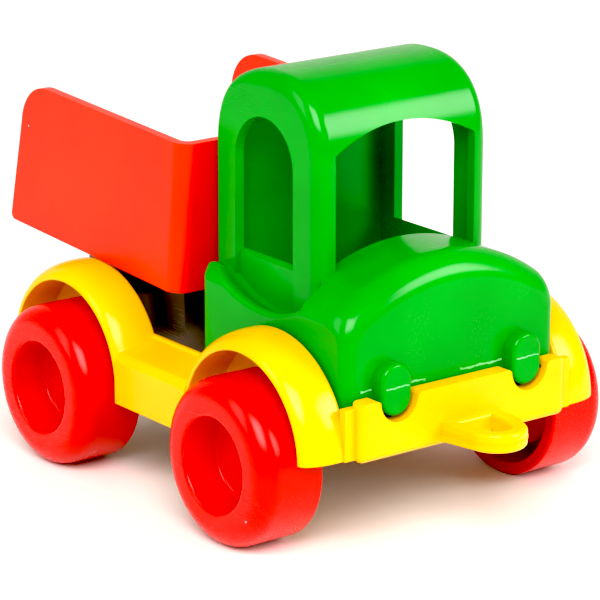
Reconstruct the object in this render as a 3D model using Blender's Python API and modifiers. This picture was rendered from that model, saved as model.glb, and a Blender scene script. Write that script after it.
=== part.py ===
"""Toy dump truck: moulded plastic pieces on two steel axles, screwed together from below.

Frame: +X is the truck's front, +Y its left side and +Z up. The origin is on the floor, under the middle
of the truck. Lengths are in metres, and MM turns a size in millimetres into metres.
"""

from math import asin, cos, pi, radians, sin, sqrt, tan

import bmesh
import bpy
from mathutils import Matrix, Vector

MM = 0.001

# Fits between pieces
REST_GAP = 0.3 * MM  # faces that rest on each other
SIDE_GAP = 0.4 * MM  # walls that slide past each other during assembly
BORE_GAP = 0.3 * MM  # radial room round a pin, an axle or a screw

# Wheels and axles
WHEEL_RADIUS = 15.0 * MM
WHEEL_WIDTH = 12.9 * MM
WHEEL_SHOULDER = 3.6 * MM
WHEEL_SIDE_GAP = 0.8 * MM  # between a wheel's inner face and the fender's skirt
HUB_MOUTH_RADIUS = 9.0 * MM
HUB_FLOOR_RADIUS = 7.7 * MM
HUB_DEPTH = 6.9 * MM
HUB_FLOOR_WALL = 1.6 * MM
HUB_BOSS_RADIUS = 4.4 * MM
WHEEL_WALL = 2.3 * MM
FRONT_AXLE_X = 25.1 * MM
WHEELBASE = 54.75 * MM
AXLE_RADIUS = 1.5 * MM
AXLE_GRIP = 4.6 * MM  # length of axle inside each wheel

# Cab
CAB_REAR_X = -0.8 * MM
CAB_LENGTH = 30.3 * MM
CAB_HALF_WIDTH = 19.0 * MM
CAB_WALL = 1.9 * MM
CAB_EDGE = 0.9 * MM
CAB_SPARE = 8.0 * MM  # the cab's solids run this far under its lower edge before it is cut level
ROOF_TOP = 79.6 * MM
ROOF_RISE = 16.0 * MM
ROOF_POWER = 2.38
WINDOW_CENTRE_X = 13.5 * MM
WINDOW_HALF = 8.4 * MM
WINDOW_TOP = 71.3 * MM
WINDSCREEN_HALF = 15.5 * MM
WINDSCREEN_SIDE_TOP = 66.9 * MM
WINDSCREEN_RISE = 4.1 * MM
WINDOW_SILL = 0.3 * MM

# Hood and door panels under the cab
HOOD_HALF_WIDTH = 23.7 * MM
HOOD_TOP = 50.0 * MM
HOOD_ARCH_RADIUS = 37.3 * MM
HOOD_LENGTH = 13.4 * MM  # from the windscreen to the flat nose
HOOD_FILLET = 5.2 * MM  # upper edge of the nose
HOOD_CREASE = 1.2 * MM  # edge between the arched top and the flat sides
NOSE_CORNER = 1.8 * MM  # upright corners of the nose
DOOR_INSET = 1.6 * MM  # door panel's rear edge, ahead of the cab's rear wall
PANEL_TOP = 43.6 * MM
SCOOP_LOW_X = 19.0 * MM
SCOOP_LOW_Z = 38.6 * MM
SCOOP_REAR_RADIUS = 26.0 * MM
SCOOP_FRONT_RADIUS = 23.0 * MM
SCOOP_OVERRUN = 0.5 * MM  # the scoop ends this far ahead of the windscreen
LAMP_HALF_SPACING = 14.6 * MM
LAMP_RADIUS = 3.25 * MM
LAMP_STRAIGHT = 2.8 * MM
LAMP_CENTRE_Z = 29.15 * MM
LAMP_LENGTH = 2.75 * MM
LAMP_ROOT = 0.8 * MM  # how deep a headlamp's solid starts inside the nose wall

# Frame with fenders, rails and bumper
FENDER_COVER = 6.9 * MM  # how far a fender reaches over its wheel's width
FENDER_WALL = 3.0 * MM
FENDER_SKIRT = 1.2 * MM
FENDER_ROUND_OUT = 5.0 * MM
FENDER_ROUND_UP = 2.6 * MM
FENDER_INNER_ROUND = 0.8 * MM
ARCH_GAP = 1.4 * MM  # radial room between a wheel and its well
ARCH_LIFT = 2.7 * MM  # the well's centre above the axle
LEG_LIFT = 0.4 * MM  # the legs' lower ends above the well's centre
LEG_STEP = 0.1 * MM  # each rail ends this far inside its fender's leg
RAIL_BOTTOM = 14.85 * MM
RAIL_TOP = 26.7 * MM
RAIL_WALL = 2.0 * MM
RAIL_SHOULDER = 1.8 * MM
LEDGE_THICKNESS = 2.0 * MM
LEDGE_INNER = 13.4 * MM
PANEL_THICKNESS = 2.5 * MM
BUMPER_BOTTOM = 17.4 * MM
BUMPER_TOP = 28.2 * MM
BUMPER_HALF = 23.1 * MM
BUMPER_DEPTH = 3.0 * MM
BUMPER_CORE = 1.5 * MM
BUMPER_EDGE = 0.8 * MM
NOTCH_GAP = 0.8 * MM
TOW_BOTTOM = 18.3 * MM
TOW_THICKNESS = 3.5 * MM
TOW_LENGTH = 12.6 * MM
TOW_OFFSET = 0.9 * MM  # the loop sits this far to the left of the middle
TOW_ROOT_HALF = 6.6 * MM
TOW_TIP_RADIUS = 5.5 * MM
TOW_WALL = 2.9 * MM

# Chassis
DECK_TOP = 25.5 * MM
DECK_THICKNESS = 2.2 * MM
BED_REST_FRONT_X = -12.2 * MM
BED_REST_HALF = 18.0 * MM
BED_REST_WALL = 2.0 * MM
RIB_INNER = 10.0 * MM
RIB_OUTER = 13.0 * MM
RIB_HALF_LENGTH = 3.6 * MM
KEEPER_REACH = 8.0 * MM  # from the axle back to the keeper's rear edge
KEEPER_HALF_WIDTH = 7.6 * MM
KEEPER_THICKNESS = 1.6 * MM
KEEPER_SCREW_SETBACK = 5.4 * MM
KEEPER_SCREW_Y = 4.6 * MM
RING_GAP = 1.2 * MM  # frame's opening, ahead of the front axle's bearing

# Bed and its hinge
HINGE_SETBACK = 14.85 * MM  # behind the rear axle
HINGE_PIN_RADIUS = 1.2 * MM
BED_PITCH = radians(3.0)  # the bed rests with its front end this much lower
BED_TIP = radians(50.0)  # travel from rest to fully tipped
BED_HALF_WIDTH = 25.4 * MM
BED_WALL = 1.8 * MM
BED_FLOOR_OFFSET = 3.3 * MM  # hinge axis to the underside of the floor
BED_CAB_GAP = 3.85 * MM  # room between the bed and the cab, which the bed needs as it tips
BED_CROWN_GAP = 0.326 * MM  # room between the bed's floor and the rear fenders, over the axle
BED_FRONT_LEAN = 1.25 * MM
BED_REAR = 14.6 * MM
BED_REAR_LEAN = 3.4 * MM
BED_HEIGHT = 28.2 * MM
BED_TOP_ROUND = 8.5 * MM
BED_EDGE = 2.6 * MM
LUG_INNER = 9.0 * MM
LUG_THICKNESS = 3.0 * MM
LUG_RADIUS = 2.8 * MM
EAR_THICKNESS = 3.0 * MM
STOP_RISE = 0.5 * MM
STOP_HALF_WIDTH = 8.2 * MM
STOP_THICKNESS = 2.0 * MM
TIP_GAP = 0.15 * MM

# Screws
SCREW_RADIUS = 1.1 * MM
SCREW_HEAD_RADIUS = 2.2 * MM
SCREW_HEAD_HEIGHT = 1.5 * MM
SCREW_BOSS_RADIUS = 2.8 * MM
CAB_BOSS_HEIGHT = 11.0 * MM
FRAME_BOSS_HEIGHT = 6.5 * MM
CAB_SCREW_REAR_X = 3.5 * MM
CAB_SCREW_REAR_Y = 17.5 * MM
CAB_SCREW_FRONT_SETBACK = 4.2 * MM
CAB_SCREW_FRONT_Y = 16.2 * MM
FRAME_SCREW_X = -22.5 * MM
FRAME_SCREW_Y = 19.5 * MM

ROUND_SEGMENTS = 32
FENDER_SEGMENTS = 40
SMALL_SEGMENTS = 16
ARC_STEPS = 6
REACH = 200.0 * MM  # a cutter runs this far where it only has to be long enough

# Places that follow from the sizes above
REAR_AXLE_X = FRONT_AXLE_X - WHEELBASE
AXLES = {"front": FRONT_AXLE_X, "rear": REAR_AXLE_X}
SIDES = {"left": 1, "right": -1}
AXLE_HEIGHT = WHEEL_RADIUS
CAB_FRONT_X = CAB_REAR_X + CAB_LENGTH
ROOF_SPRING = ROOF_TOP - ROOF_RISE
NOSE_X = CAB_FRONT_X + HOOD_LENGTH
CAB_BOTTOM = DECK_TOP + REST_GAP
DECK_BOTTOM = DECK_TOP - DECK_THICKNESS
LEDGE_TOP = DECK_BOTTOM - REST_GAP
LEDGE_BOTTOM = LEDGE_TOP - LEDGE_THICKNESS
FENDER_INNER = HOOD_HALF_WIDTH + SIDE_GAP
SKIRT_OUTER = FENDER_INNER + FENDER_SKIRT
WHEEL_INNER_Y = SKIRT_OUTER + WHEEL_SIDE_GAP
TRACK_HALF = WHEEL_INNER_Y + WHEEL_WIDTH  # middle of the truck to a wheel's outer face
FENDER_OUTER = WHEEL_INNER_Y + FENDER_COVER
ARCH_RADIUS = WHEEL_RADIUS + ARCH_GAP
ARCH_CENTRE_Z = AXLE_HEIGHT + ARCH_LIFT
LEG_BOTTOM = ARCH_CENTRE_Z + LEG_LIFT
CROWN_RADIUS = ARCH_RADIUS + FENDER_WALL
HINGE_X = REAR_AXLE_X - HINGE_SETBACK
BED_FRONT = CAB_REAR_X - BED_CAB_GAP - HINGE_X
HINGE_Z = (
    ARCH_CENTRE_Z
    + CROWN_RADIUS
    + BED_CROWN_GAP
    + HINGE_SETBACK * tan(BED_PITCH)
    - BED_FLOOR_OFFSET / cos(BED_PITCH)
)
BUMPER_BACK_X = NOSE_X + SIDE_GAP
BUMPER_FRONT_X = BUMPER_BACK_X + BUMPER_DEPTH
FRAME_REAR_X = REAR_AXLE_X - CROWN_RADIUS
PANEL_FRONT_X = FRAME_REAR_X + PANEL_THICKNESS
RIB_BOTTOM = AXLE_HEIGHT - AXLE_RADIUS - BORE_GAP
KEEPER_TOP = RIB_BOTTOM - REST_GAP
KEEPER_BOTTOM = KEEPER_TOP - KEEPER_THICKNESS
SCREW_HOLE_RADIUS = SCREW_RADIUS + BORE_GAP
LUG_OUTER = LUG_INNER + LUG_THICKNESS
EAR_INNER = LUG_OUTER + SIDE_GAP
EAR_OUTER = EAR_INNER + EAR_THICKNESS
LAMP_LOW_Z = LAMP_CENTRE_Z - LAMP_STRAIGHT / 2
CAB_SCREWS = {
    "rear": (CAB_SCREW_REAR_X, CAB_SCREW_REAR_Y),
    "front": (NOSE_X - CAB_SCREW_FRONT_SETBACK, CAB_SCREW_FRONT_Y),
}


def new_collection(name):
    collection = bpy.data.collections.new(name)
    bpy.context.scene.collection.children.link(collection)
    return collection


for old in list(bpy.data.objects):
    bpy.data.objects.remove(old, do_unlink=True)

PARTS = new_collection("toy_dump_truck")
CUTTERS = new_collection("cutters")


def linear(channel):
    """One sRGB channel, 0 to 1, as linear light."""
    if channel <= 0.04045:
        return channel / 12.92
    return ((channel + 0.055) / 1.055) ** 2.4


def new_material(name, colour, roughness, metallic=0.0):
    material = bpy.data.materials.new(name)
    material.use_nodes = True
    shader = material.node_tree.nodes["Principled BSDF"]
    channels = [linear(int(colour[i : i + 2], 16) / 255) for i in (0, 2, 4)]
    shader.inputs["Base Color"].default_value = (*channels, 1.0)
    shader.inputs["Roughness"].default_value = roughness
    shader.inputs["Metallic"].default_value = metallic
    material.diffuse_color = (*channels, 1.0)
    return material


YELLOW = new_material("yellow_polypropylene", "fee300", 0.3)
GREEN = new_material("green_polypropylene", "00b81a", 0.25)
RED = new_material("red_polypropylene", "f20a05", 0.35)
ORANGE = new_material("orange_red_polypropylene", "fb3d05", 0.3)
BLACK = new_material("black_polypropylene", "1a1512", 0.2)
STEEL = new_material("bright_steel", "c9c9c6", 0.3, 1.0)


# Making and combining shapes


def add_part(name, mesh, material, origin=(0.0, 0.0, 0.0)):
    """A sub-part whose mesh is given in world coordinates, with the object's origin at the given point."""
    mesh.transform(Matrix.Translation(-Vector(origin)))
    part = bpy.data.objects.new(name, mesh)
    part.location = origin
    part.data.materials.append(material)
    PARTS.objects.link(part)
    return part


def combine(part, mesh, operation, label):
    """Adds a live Boolean to the part. The mesh is in the part's own coordinates."""
    tool = bpy.data.objects.new(f"{part.name}_{label}", mesh)
    tool.parent = part
    tool.hide_render = True
    tool.display_type = "WIRE"
    CUTTERS.objects.link(tool)
    modifier = part.modifiers.new(label, "BOOLEAN")
    modifier.operation = operation
    modifier.solver = "EXACT"
    modifier.object = tool


def cut(part, mesh, label):
    combine(part, mesh, "DIFFERENCE", label)


def join(part, mesh, label):
    combine(part, mesh, "UNION", label)


def finish(shape):
    """A mesh from a bmesh, with its faces pointing out."""
    bmesh.ops.recalc_face_normals(shape, faces=shape.faces)
    mesh = bpy.data.meshes.new("shape")
    shape.to_mesh(mesh)
    shape.free()
    return mesh


def add_box(shape, low, high):
    low = Vector(low)
    high = Vector(high)
    size = high - low
    place = Matrix.Translation((low + high) / 2) @ Matrix.Diagonal((*size, 1.0))
    bmesh.ops.create_cube(shape, size=1.0, matrix=place)


def box(low, high):
    shape = bmesh.new()
    add_box(shape, low, high)
    return finish(shape)


def box_pair(low, high):
    """The box and its mirror image across the middle of the truck, apart from each other."""
    shape = bmesh.new()
    add_box(shape, low, high)
    add_box(shape, (low[0], -high[1], low[2]), (high[0], -low[1], high[2]))
    return finish(shape)


def along(direction):
    """Rotation that turns local +Z to the given axis."""
    return Vector((0.0, 0.0, 1.0)).rotation_difference(Vector(direction)).to_matrix().to_4x4()


def add_rod(shape, start, end, radius, segments=SMALL_SEGMENTS):
    start = Vector(start)
    end = Vector(end)
    place = Matrix.Translation((start + end) / 2) @ along(end - start)
    bmesh.ops.create_cone(
        shape,
        cap_ends=True,
        segments=segments,
        radius1=radius,
        radius2=radius,
        depth=(end - start).length,
        matrix=place,
    )


def rod(start, end, radius, segments=SMALL_SEGMENTS):
    shape = bmesh.new()
    add_rod(shape, start, end, radius, segments)
    return finish(shape)


def rods(ends, radius, segments=SMALL_SEGMENTS):
    """Several separate rods in one mesh."""
    shape = bmesh.new()
    for start, end in ends:
        add_rod(shape, start, end, radius, segments)
    return finish(shape)


def evaluated_mesh(source):
    """The source object's shape as a welded mesh. The source object is removed."""
    bpy.context.view_layer.update()
    graph = bpy.context.evaluated_depsgraph_get()
    mesh = bpy.data.meshes.new_from_object(source.evaluated_get(graph))
    mesh.transform(source.matrix_world)
    bpy.data.objects.remove(source, do_unlink=True)
    shape = bmesh.new()
    shape.from_mesh(mesh)
    bmesh.ops.remove_doubles(shape, verts=shape.verts, dist=0.001 * MM)
    return finish(shape)


OUTLINE_TO_WORLD = {
    "X": Matrix(((0, 0, 1, 0), (1, 0, 0, 0), (0, 1, 0, 0), (0, 0, 0, 1))),
    "Y": Matrix(((1, 0, 0, 0), (0, 0, -1, 0), (0, 1, 0, 0), (0, 0, 0, 1))),
    "Z": Matrix.Identity(4),
}


def prism(outline, axis, low, high):
    """A flat outline extruded along an axis: (y, z) points for X, (x, z) for Y and (x, y) for Z."""
    curve = bpy.data.curves.new("outline", "CURVE")
    curve.dimensions = "2D"
    curve.fill_mode = "BOTH"
    curve.extrude = (high - low) / 2
    spline = curve.splines.new("POLY")
    spline.points.add(len(outline) - 1)
    for point, (across, up) in zip(spline.points, outline):
        point.co = (across, up, 0.0, 1.0)
    spline.use_cyclic_u = True
    source = bpy.data.objects.new("outline", curve)
    middle = (low + high) / 2
    shift = {"X": (middle, 0, 0), "Y": (0, middle, 0), "Z": (0, 0, middle)}[axis]
    source.matrix_world = Matrix.Translation(shift) @ OUTLINE_TO_WORLD[axis]
    CUTTERS.objects.link(source)
    return evaluated_mesh(source)


def turned_part(name, profile, material, steps):
    """A turned shape round local Z: (radius, height) points down the outer side, top to bottom."""
    mesh = bpy.data.meshes.new(name)
    points = [(radius, 0.0, height) for radius, height in profile]
    mesh.from_pydata(points, [(i, i + 1) for i in range(len(points) - 1)], [])
    part = bpy.data.objects.new(name, mesh)
    mesh.materials.append(material)
    screw = part.modifiers.new("turn", "SCREW")
    screw.steps = steps
    screw.render_steps = steps
    screw.use_merge_vertices = True
    screw.merge_threshold = 0.01 * MM
    PARTS.objects.link(part)
    return part


def smooth(part, angle=35.0):
    part.data.shade_smooth()
    part.data.set_sharp_from_angle(angle=radians(angle))


# Outlines


def arc(centre, radius, start, end, steps=ARC_STEPS):
    """Points on a circle from one angle to another, both included."""
    angles = [start + (end - start) * i / steps for i in range(steps + 1)]
    return [(centre[0] + radius * cos(a), centre[1] + radius * sin(a)) for a in angles]


def vault(half_width, spring, rise, power, steps=14):
    """Right to left over the top of a superellipse that stands on its spring line."""
    points = []
    for i in range(steps + 1):
        angle = pi * i / steps
        across = half_width * abs(cos(angle)) ** (2 / power)
        up = rise * sin(angle) ** (2 / power)
        points.append((across if i < steps / 2 else -across, spring + up))
    return points


def quarter_drop(depth, radius):
    """How far a quarter-round edge falls at a depth into its width."""
    depth = min(max(depth, 0.0), radius)
    return radius - sqrt(radius**2 - depth**2)


def arch_height(y, wall=0.0):
    """Height of the hood's arch at a distance from the middle of the truck, drawn in by a wall."""
    radius = HOOD_ARCH_RADIUS - wall
    return HOOD_TOP - wall - radius + sqrt(radius**2 - y**2)


def scoop_curve(drop):
    """Top edge of the door panels, rear to front, lowered by the given amount."""
    rear_radius = SCOOP_REAR_RADIUS + drop
    front_radius = SCOOP_FRONT_RADIUS + drop
    rear_z = SCOOP_LOW_Z + SCOOP_REAR_RADIUS
    top = PANEL_TOP - drop
    end_x = CAB_FRONT_X + SCOOP_OVERRUN + drop
    start = pi + asin((rear_z - top) / rear_radius)
    rear = arc((SCOOP_LOW_X, rear_z), rear_radius, start, 1.5 * pi)
    end = 1.5 * pi + asin((end_x - SCOOP_LOW_X) / front_radius)
    front = arc((SCOOP_LOW_X, SCOOP_LOW_Z + SCOOP_FRONT_RADIUS), front_radius, 1.5 * pi, end)
    return [(CAB_REAR_X - CAB_SPARE, top), *rear, *front[1:]]


def above(curve, top):
    """Closed outline of everything over a curve, up to a height."""
    return [(curve[0][0], top), *curve, (curve[-1][0], top)]


# Pieces


def wheel_profile():
    """(radius, height) of a wheel down its outer side. Height 0 is the outer face, and -width the inner."""
    inner = -WHEEL_WIDTH
    floor = -HUB_DEPTH
    web = floor - HUB_FLOOR_WALL
    shoulder = arc(
        (WHEEL_RADIUS - WHEEL_SHOULDER, -WHEEL_SHOULDER), WHEEL_SHOULDER, radians(90), 0.0, 4
    )
    rim_radius = WHEEL_RADIUS - WHEEL_WALL
    recess_wall = HUB_MOUTH_RADIUS + 1.4 * MM
    bore = AXLE_RADIUS + BORE_GAP
    bore_end = inner + AXLE_GRIP + REST_GAP
    return [
        (0.0, floor),
        (HUB_FLOOR_RADIUS, floor),
        (HUB_MOUTH_RADIUS - 0.6 * MM, -0.7 * MM),
        (HUB_MOUTH_RADIUS, -0.1 * MM),
        *shoulder,
        (WHEEL_RADIUS, inner + 0.6 * MM),
        (WHEEL_RADIUS - 0.6 * MM, inner),
        (rim_radius, inner),
        (rim_radius, -WHEEL_SHOULDER),
        (recess_wall, -WHEEL_SHOULDER),
        (recess_wall - 0.6 * MM, web),
        (HUB_BOSS_RADIUS, web),
        (HUB_BOSS_RADIUS, inner),
        (bore, inner),
        (bore, bore_end),
        (0.0, bore_end),
    ]


def make_wheels():
    for end, x in AXLES.items():
        for side, sign in SIDES.items():
            wheel = turned_part(f"{end}_{side}_wheel", wheel_profile(), RED, ROUND_SEGMENTS)
            wheel.location = (x, sign * TRACK_HALF, AXLE_HEIGHT)
            wheel.rotation_euler = (radians(-90) * sign, 0.0, 0.0)
            smooth(wheel)


def make_axles():
    half = WHEEL_INNER_Y + AXLE_GRIP
    for end, x in AXLES.items():
        mesh = rod((x, -half, AXLE_HEIGHT), (x, half, AXLE_HEIGHT), AXLE_RADIUS)
        axle = add_part(f"{end}_axle", mesh, STEEL, (x, 0.0, AXLE_HEIGHT))
        smooth(axle)


def fender_mesh(axle_x, sign):
    """One fender: a drum turned on the arch's centre, hollowed for the wheel and cut off at its legs."""
    rim_round = [
        (
            CROWN_RADIUS - FENDER_ROUND_UP * (1 - sin(angle)),
            FENDER_OUTER - FENDER_ROUND_OUT * (1 - cos(angle)),
        )
        for angle in (pi / 2 * i / 4 for i in range(5))
    ]
    profile = [
        (0.0, FENDER_OUTER),
        *rim_round,
        (CROWN_RADIUS, FENDER_INNER + FENDER_INNER_ROUND),
        (CROWN_RADIUS - FENDER_INNER_ROUND, FENDER_INNER),
        (0.0, FENDER_INNER),
    ]
    drum = turned_part("fender_drum", profile, YELLOW, FENDER_SEGMENTS)
    cut(drum, prism(well_outline(), "Z", SKIRT_OUTER, REACH), "well")
    cut(drum, box((-REACH, -REACH, -REACH), (REACH, LEG_BOTTOM - ARCH_CENTRE_Z, REACH)), "below_legs")
    drum.location = (axle_x, 0.0, ARCH_CENTRE_Z)
    drum.rotation_euler = (radians(90), 0.0, 0.0)
    drum.scale = (1.0, 1.0, -1.0 if sign > 0 else 1.0)
    return evaluated_mesh(drum)


def rail_section(sign):
    """(y, z) outline of the rail between two fenders."""
    shoulder = arc(
        (FENDER_OUTER - RAIL_SHOULDER, RAIL_TOP - RAIL_SHOULDER), RAIL_SHOULDER, 0.0, pi / 2, 3
    )
    points = [(FENDER_OUTER, RAIL_BOTTOM), *shoulder]
    points += [(FENDER_INNER, RAIL_TOP), (FENDER_INNER, RAIL_BOTTOM)]
    return [(sign * y, z) for y, z in points]


def tow_outline(inset):
    """(x, y) outline of the tow loop, drawn in by the inset: a wide root and a round tip."""
    tip_x = BUMPER_FRONT_X + TOW_LENGTH
    centre = (tip_x - TOW_TIP_RADIUS, TOW_OFFSET)
    root_x = BUMPER_FRONT_X - BUMPER_CORE if inset == 0 else BUMPER_FRONT_X + 1.6 * MM
    root_half = TOW_ROOT_HALF - inset
    tip = arc(centre, TOW_TIP_RADIUS - inset, radians(-82), radians(82), 8)
    return [(root_x, TOW_OFFSET - root_half), *tip, (root_x, TOW_OFFSET + root_half)]


def notch_outline(sign):
    """(y, z) outline of the bumper notch under a headlamp, open at the top."""
    centre = (sign * LAMP_HALF_SPACING, LAMP_LOW_Z)
    radius = LAMP_RADIUS + NOTCH_GAP
    low = arc(centre, radius, radians(180), radians(360), 8)
    return [(low[0][0], BUMPER_TOP + RAIL_WALL), *low, (low[-1][0], BUMPER_TOP + RAIL_WALL)]


def well_outline():
    """Outline of a wheel well round the arch's centre, open to the floor."""
    top = arc((0.0, 0.0), ARCH_RADIUS, 0.0, pi, 20)
    return [(ARCH_RADIUS, -REACH), *top, (-ARCH_RADIUS, -REACH)]


def ledge_mesh():
    """Ring under the edge of the deck, which joins the four fenders, the rails and both ends."""
    return box(
        (FRAME_REAR_X + REST_GAP, -SKIRT_OUTER + REST_GAP, LEDGE_BOTTOM),
        (BUMPER_BACK_X + BUMPER_CORE, SKIRT_OUTER - REST_GAP, LEDGE_TOP),
    )


def make_fender_frame():
    frame = add_part("fender_frame", ledge_mesh(), YELLOW)
    rail_rear = REAR_AXLE_X + ARCH_RADIUS + LEG_STEP
    rail_front = FRONT_AXLE_X - ARCH_RADIUS - LEG_STEP
    for end, x in AXLES.items():
        for side, sign in SIDES.items():
            join(frame, fender_mesh(x, sign), f"{end}_{side}_fender")
    for side, sign in SIDES.items():
        rail = prism(rail_section(sign), "X", rail_rear, rail_front)
        join(frame, rail, f"{side}_rail")
    panel_low = (FRAME_REAR_X, -SKIRT_OUTER, LEG_BOTTOM)
    panel_high = (PANEL_FRONT_X, SKIRT_OUTER, LEDGE_TOP - REST_GAP)
    join(frame, box(panel_low, panel_high), "rear_panel")
    core_low = (BUMPER_BACK_X, -SKIRT_OUTER, LEG_BOTTOM)
    core_high = (BUMPER_BACK_X + BUMPER_CORE, SKIRT_OUTER, BUMPER_TOP - BUMPER_EDGE)
    join(frame, box(core_low, core_high), "bumper_core")
    join(frame, bumper_mesh(), "bumper")
    tow_top = TOW_BOTTOM + TOW_THICKNESS
    join(frame, prism(tow_outline(0.0), "Z", TOW_BOTTOM, tow_top), "tow_loop")
    cut_fender_frame(frame, rail_rear, rail_front)
    smooth(frame)


def bumper_mesh():
    """Bumper block with rounded outer edges."""
    shape = bmesh.new()
    add_box(
        shape,
        (BUMPER_BACK_X, -BUMPER_HALF, BUMPER_BOTTOM),
        (BUMPER_FRONT_X, BUMPER_HALF, BUMPER_TOP),
    )
    front = [e for e in shape.edges if all(v.co.x > BUMPER_FRONT_X - REST_GAP for v in e.verts)]
    bmesh.ops.bevel(
        shape, geom=front, offset=BUMPER_EDGE, segments=2, profile=0.5, affect="EDGES", material=-1
    )
    return finish(shape)


def cut_fender_frame(frame, rail_rear, rail_front):
    hollow_low = (rail_rear + RAIL_WALL, SKIRT_OUTER, 0.0)
    hollow_high = (rail_front - RAIL_WALL, FENDER_OUTER - RAIL_WALL, RAIL_TOP - RAIL_WALL)
    cut(frame, box_pair(hollow_low, hollow_high), "rail_hollows")
    ring_low = (PANEL_FRONT_X + RAIL_WALL, -LEDGE_INNER, 0.0)
    ring_high = (FRONT_AXLE_X + KEEPER_REACH + RING_GAP, LEDGE_INNER, DECK_TOP)
    cut(frame, box(ring_low, ring_high), "ledge_opening")
    for side, sign in SIDES.items():
        notch = prism(notch_outline(sign), "X", BUMPER_BACK_X - SIDE_GAP, REACH)
        cut(frame, notch, f"{side}_lamp_notch")
    cut(frame, prism(tow_outline(TOW_WALL), "Z", 0.0, DECK_TOP), "tow_hole")
    cut(frame, screw_holes(LEDGE_BOTTOM, LEDGE_TOP), "screw_holes")


def screw_places():
    """(name, x, y) of the screws that come up through the frame."""
    places = []
    for side, sign in SIDES.items():
        for end, (x, y) in CAB_SCREWS.items():
            places.append((f"cab_{end}_{side}_screw", x, sign * y))
        places.append((f"frame_{side}_screw", FRAME_SCREW_X, sign * FRAME_SCREW_Y))
    return places


def screw_holes(low, high):
    """Clearance holes for the frame's screws, run a little past both faces."""
    ends = [
        ((x, y, low - RAIL_WALL), (x, y, high + RAIL_WALL)) for _, x, y in screw_places()
    ]
    return rods(ends, SCREW_HOLE_RADIUS)


def slot_outline(axle_x):
    """(x, z) outline of an axle's bearing slot, open at the bottom."""
    radius = AXLE_RADIUS + BORE_GAP
    top = arc((axle_x, AXLE_HEIGHT), radius, 0.0, pi, 8)
    return [(axle_x + radius, 0.0), *top, (axle_x - radius, 0.0)]


def floor_line(local_x, drop):
    """World (x, z) of a point under the resting bed's floor, the given distance below it."""
    height = BED_FLOOR_OFFSET - drop
    x = HINGE_X + local_x * cos(BED_PITCH) + height * sin(BED_PITCH)
    z = HINGE_Z - local_x * sin(BED_PITCH) + height * cos(BED_PITCH)
    return x, z


def bed_rest_outline(inset):
    """(x, z) outline of the raised block that the bed rests on, drawn in by the inset."""
    front_x = BED_REST_FRONT_X - inset
    rear_x = HINGE_X + LUG_RADIUS + SIDE_GAP + inset
    low = DECK_BOTTOM + REST_GAP if inset == 0 else 0.0
    corners = [(front_x, low)]
    for x in (front_x, rear_x):
        reach = (x - HINGE_X) / cos(BED_PITCH)
        corners.append((x, floor_line(reach, REST_GAP + inset)[1]))
    corners.append((rear_x, low))
    return corners


def ear_outline():
    """(x, z) outline of a hinge ear on the chassis."""
    top = arc((HINGE_X, HINGE_Z), LUG_RADIUS, radians(180), radians(60), ARC_STEPS)
    root_x = HINGE_X + LUG_RADIUS + BED_REST_WALL
    return [(HINGE_X - LUG_RADIUS, DECK_BOTTOM + REST_GAP), *top, (root_x, HINGE_Z - LUG_RADIUS),
            (root_x, DECK_BOTTOM + REST_GAP)]


def stop_x():
    """Rear face of the stop that the floor meets when the bed is fully tipped."""
    slope = BED_TIP - BED_PITCH
    reach = (BED_FLOOR_OFFSET - TIP_GAP - STOP_RISE * cos(slope)) / sin(slope)
    return HINGE_X - reach


def make_chassis():
    deck_rear = FRAME_REAR_X + SIDE_GAP
    deck_front = NOSE_X - LAMP_ROOT - SIDE_GAP
    deck = box((deck_rear, -HOOD_HALF_WIDTH, DECK_BOTTOM), (deck_front, HOOD_HALF_WIDTH, DECK_TOP))
    chassis = add_part("chassis", deck, BLACK)
    rest = prism(bed_rest_outline(0.0), "Y", -BED_REST_HALF, BED_REST_HALF)
    join(chassis, rest, "bed_rest")
    boss_ends = [
        (
            (FRAME_SCREW_X, sign * FRAME_SCREW_Y, DECK_BOTTOM + REST_GAP),
            (FRAME_SCREW_X, sign * FRAME_SCREW_Y, DECK_TOP + FRAME_BOSS_HEIGHT),
        )
        for sign in SIDES.values()
    ]
    join(chassis, rods(boss_ends, SCREW_BOSS_RADIUS), "frame_bosses")
    hollow_half = BED_REST_HALF - BED_REST_WALL
    hollow = prism(bed_rest_outline(BED_REST_WALL), "Y", -hollow_half, hollow_half)
    cut(chassis, hollow, "bed_rest_hollow")
    join_hinge(chassis)
    for end, x in AXLES.items():
        join_bearings(chassis, end, x)
    for end, x in AXLES.items():
        cut(chassis, prism(slot_outline(x), "Y", -RIB_OUTER - RAIL_WALL, RIB_OUTER + RAIL_WALL), f"{end}_slot")
    cut_chassis_screw_holes(chassis)
    smooth(chassis)


def join_hinge(chassis):
    for side, sign in SIDES.items():
        low, high = sorted((sign * EAR_INNER, sign * EAR_OUTER))
        join(chassis, prism(ear_outline(), "Y", low, high), f"{side}_ear")
    stop_low = (stop_x(), -STOP_HALF_WIDTH, DECK_BOTTOM + REST_GAP)
    stop_high = (stop_x() + STOP_THICKNESS, STOP_HALF_WIDTH, HINGE_Z + STOP_RISE)
    join(chassis, box(stop_low, stop_high), "tip_stop")
    pin = rod((HINGE_X, -REACH, HINGE_Z), (HINGE_X, REACH, HINGE_Z), HINGE_PIN_RADIUS + BORE_GAP)
    cut(chassis, pin, "hinge_bore")


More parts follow.
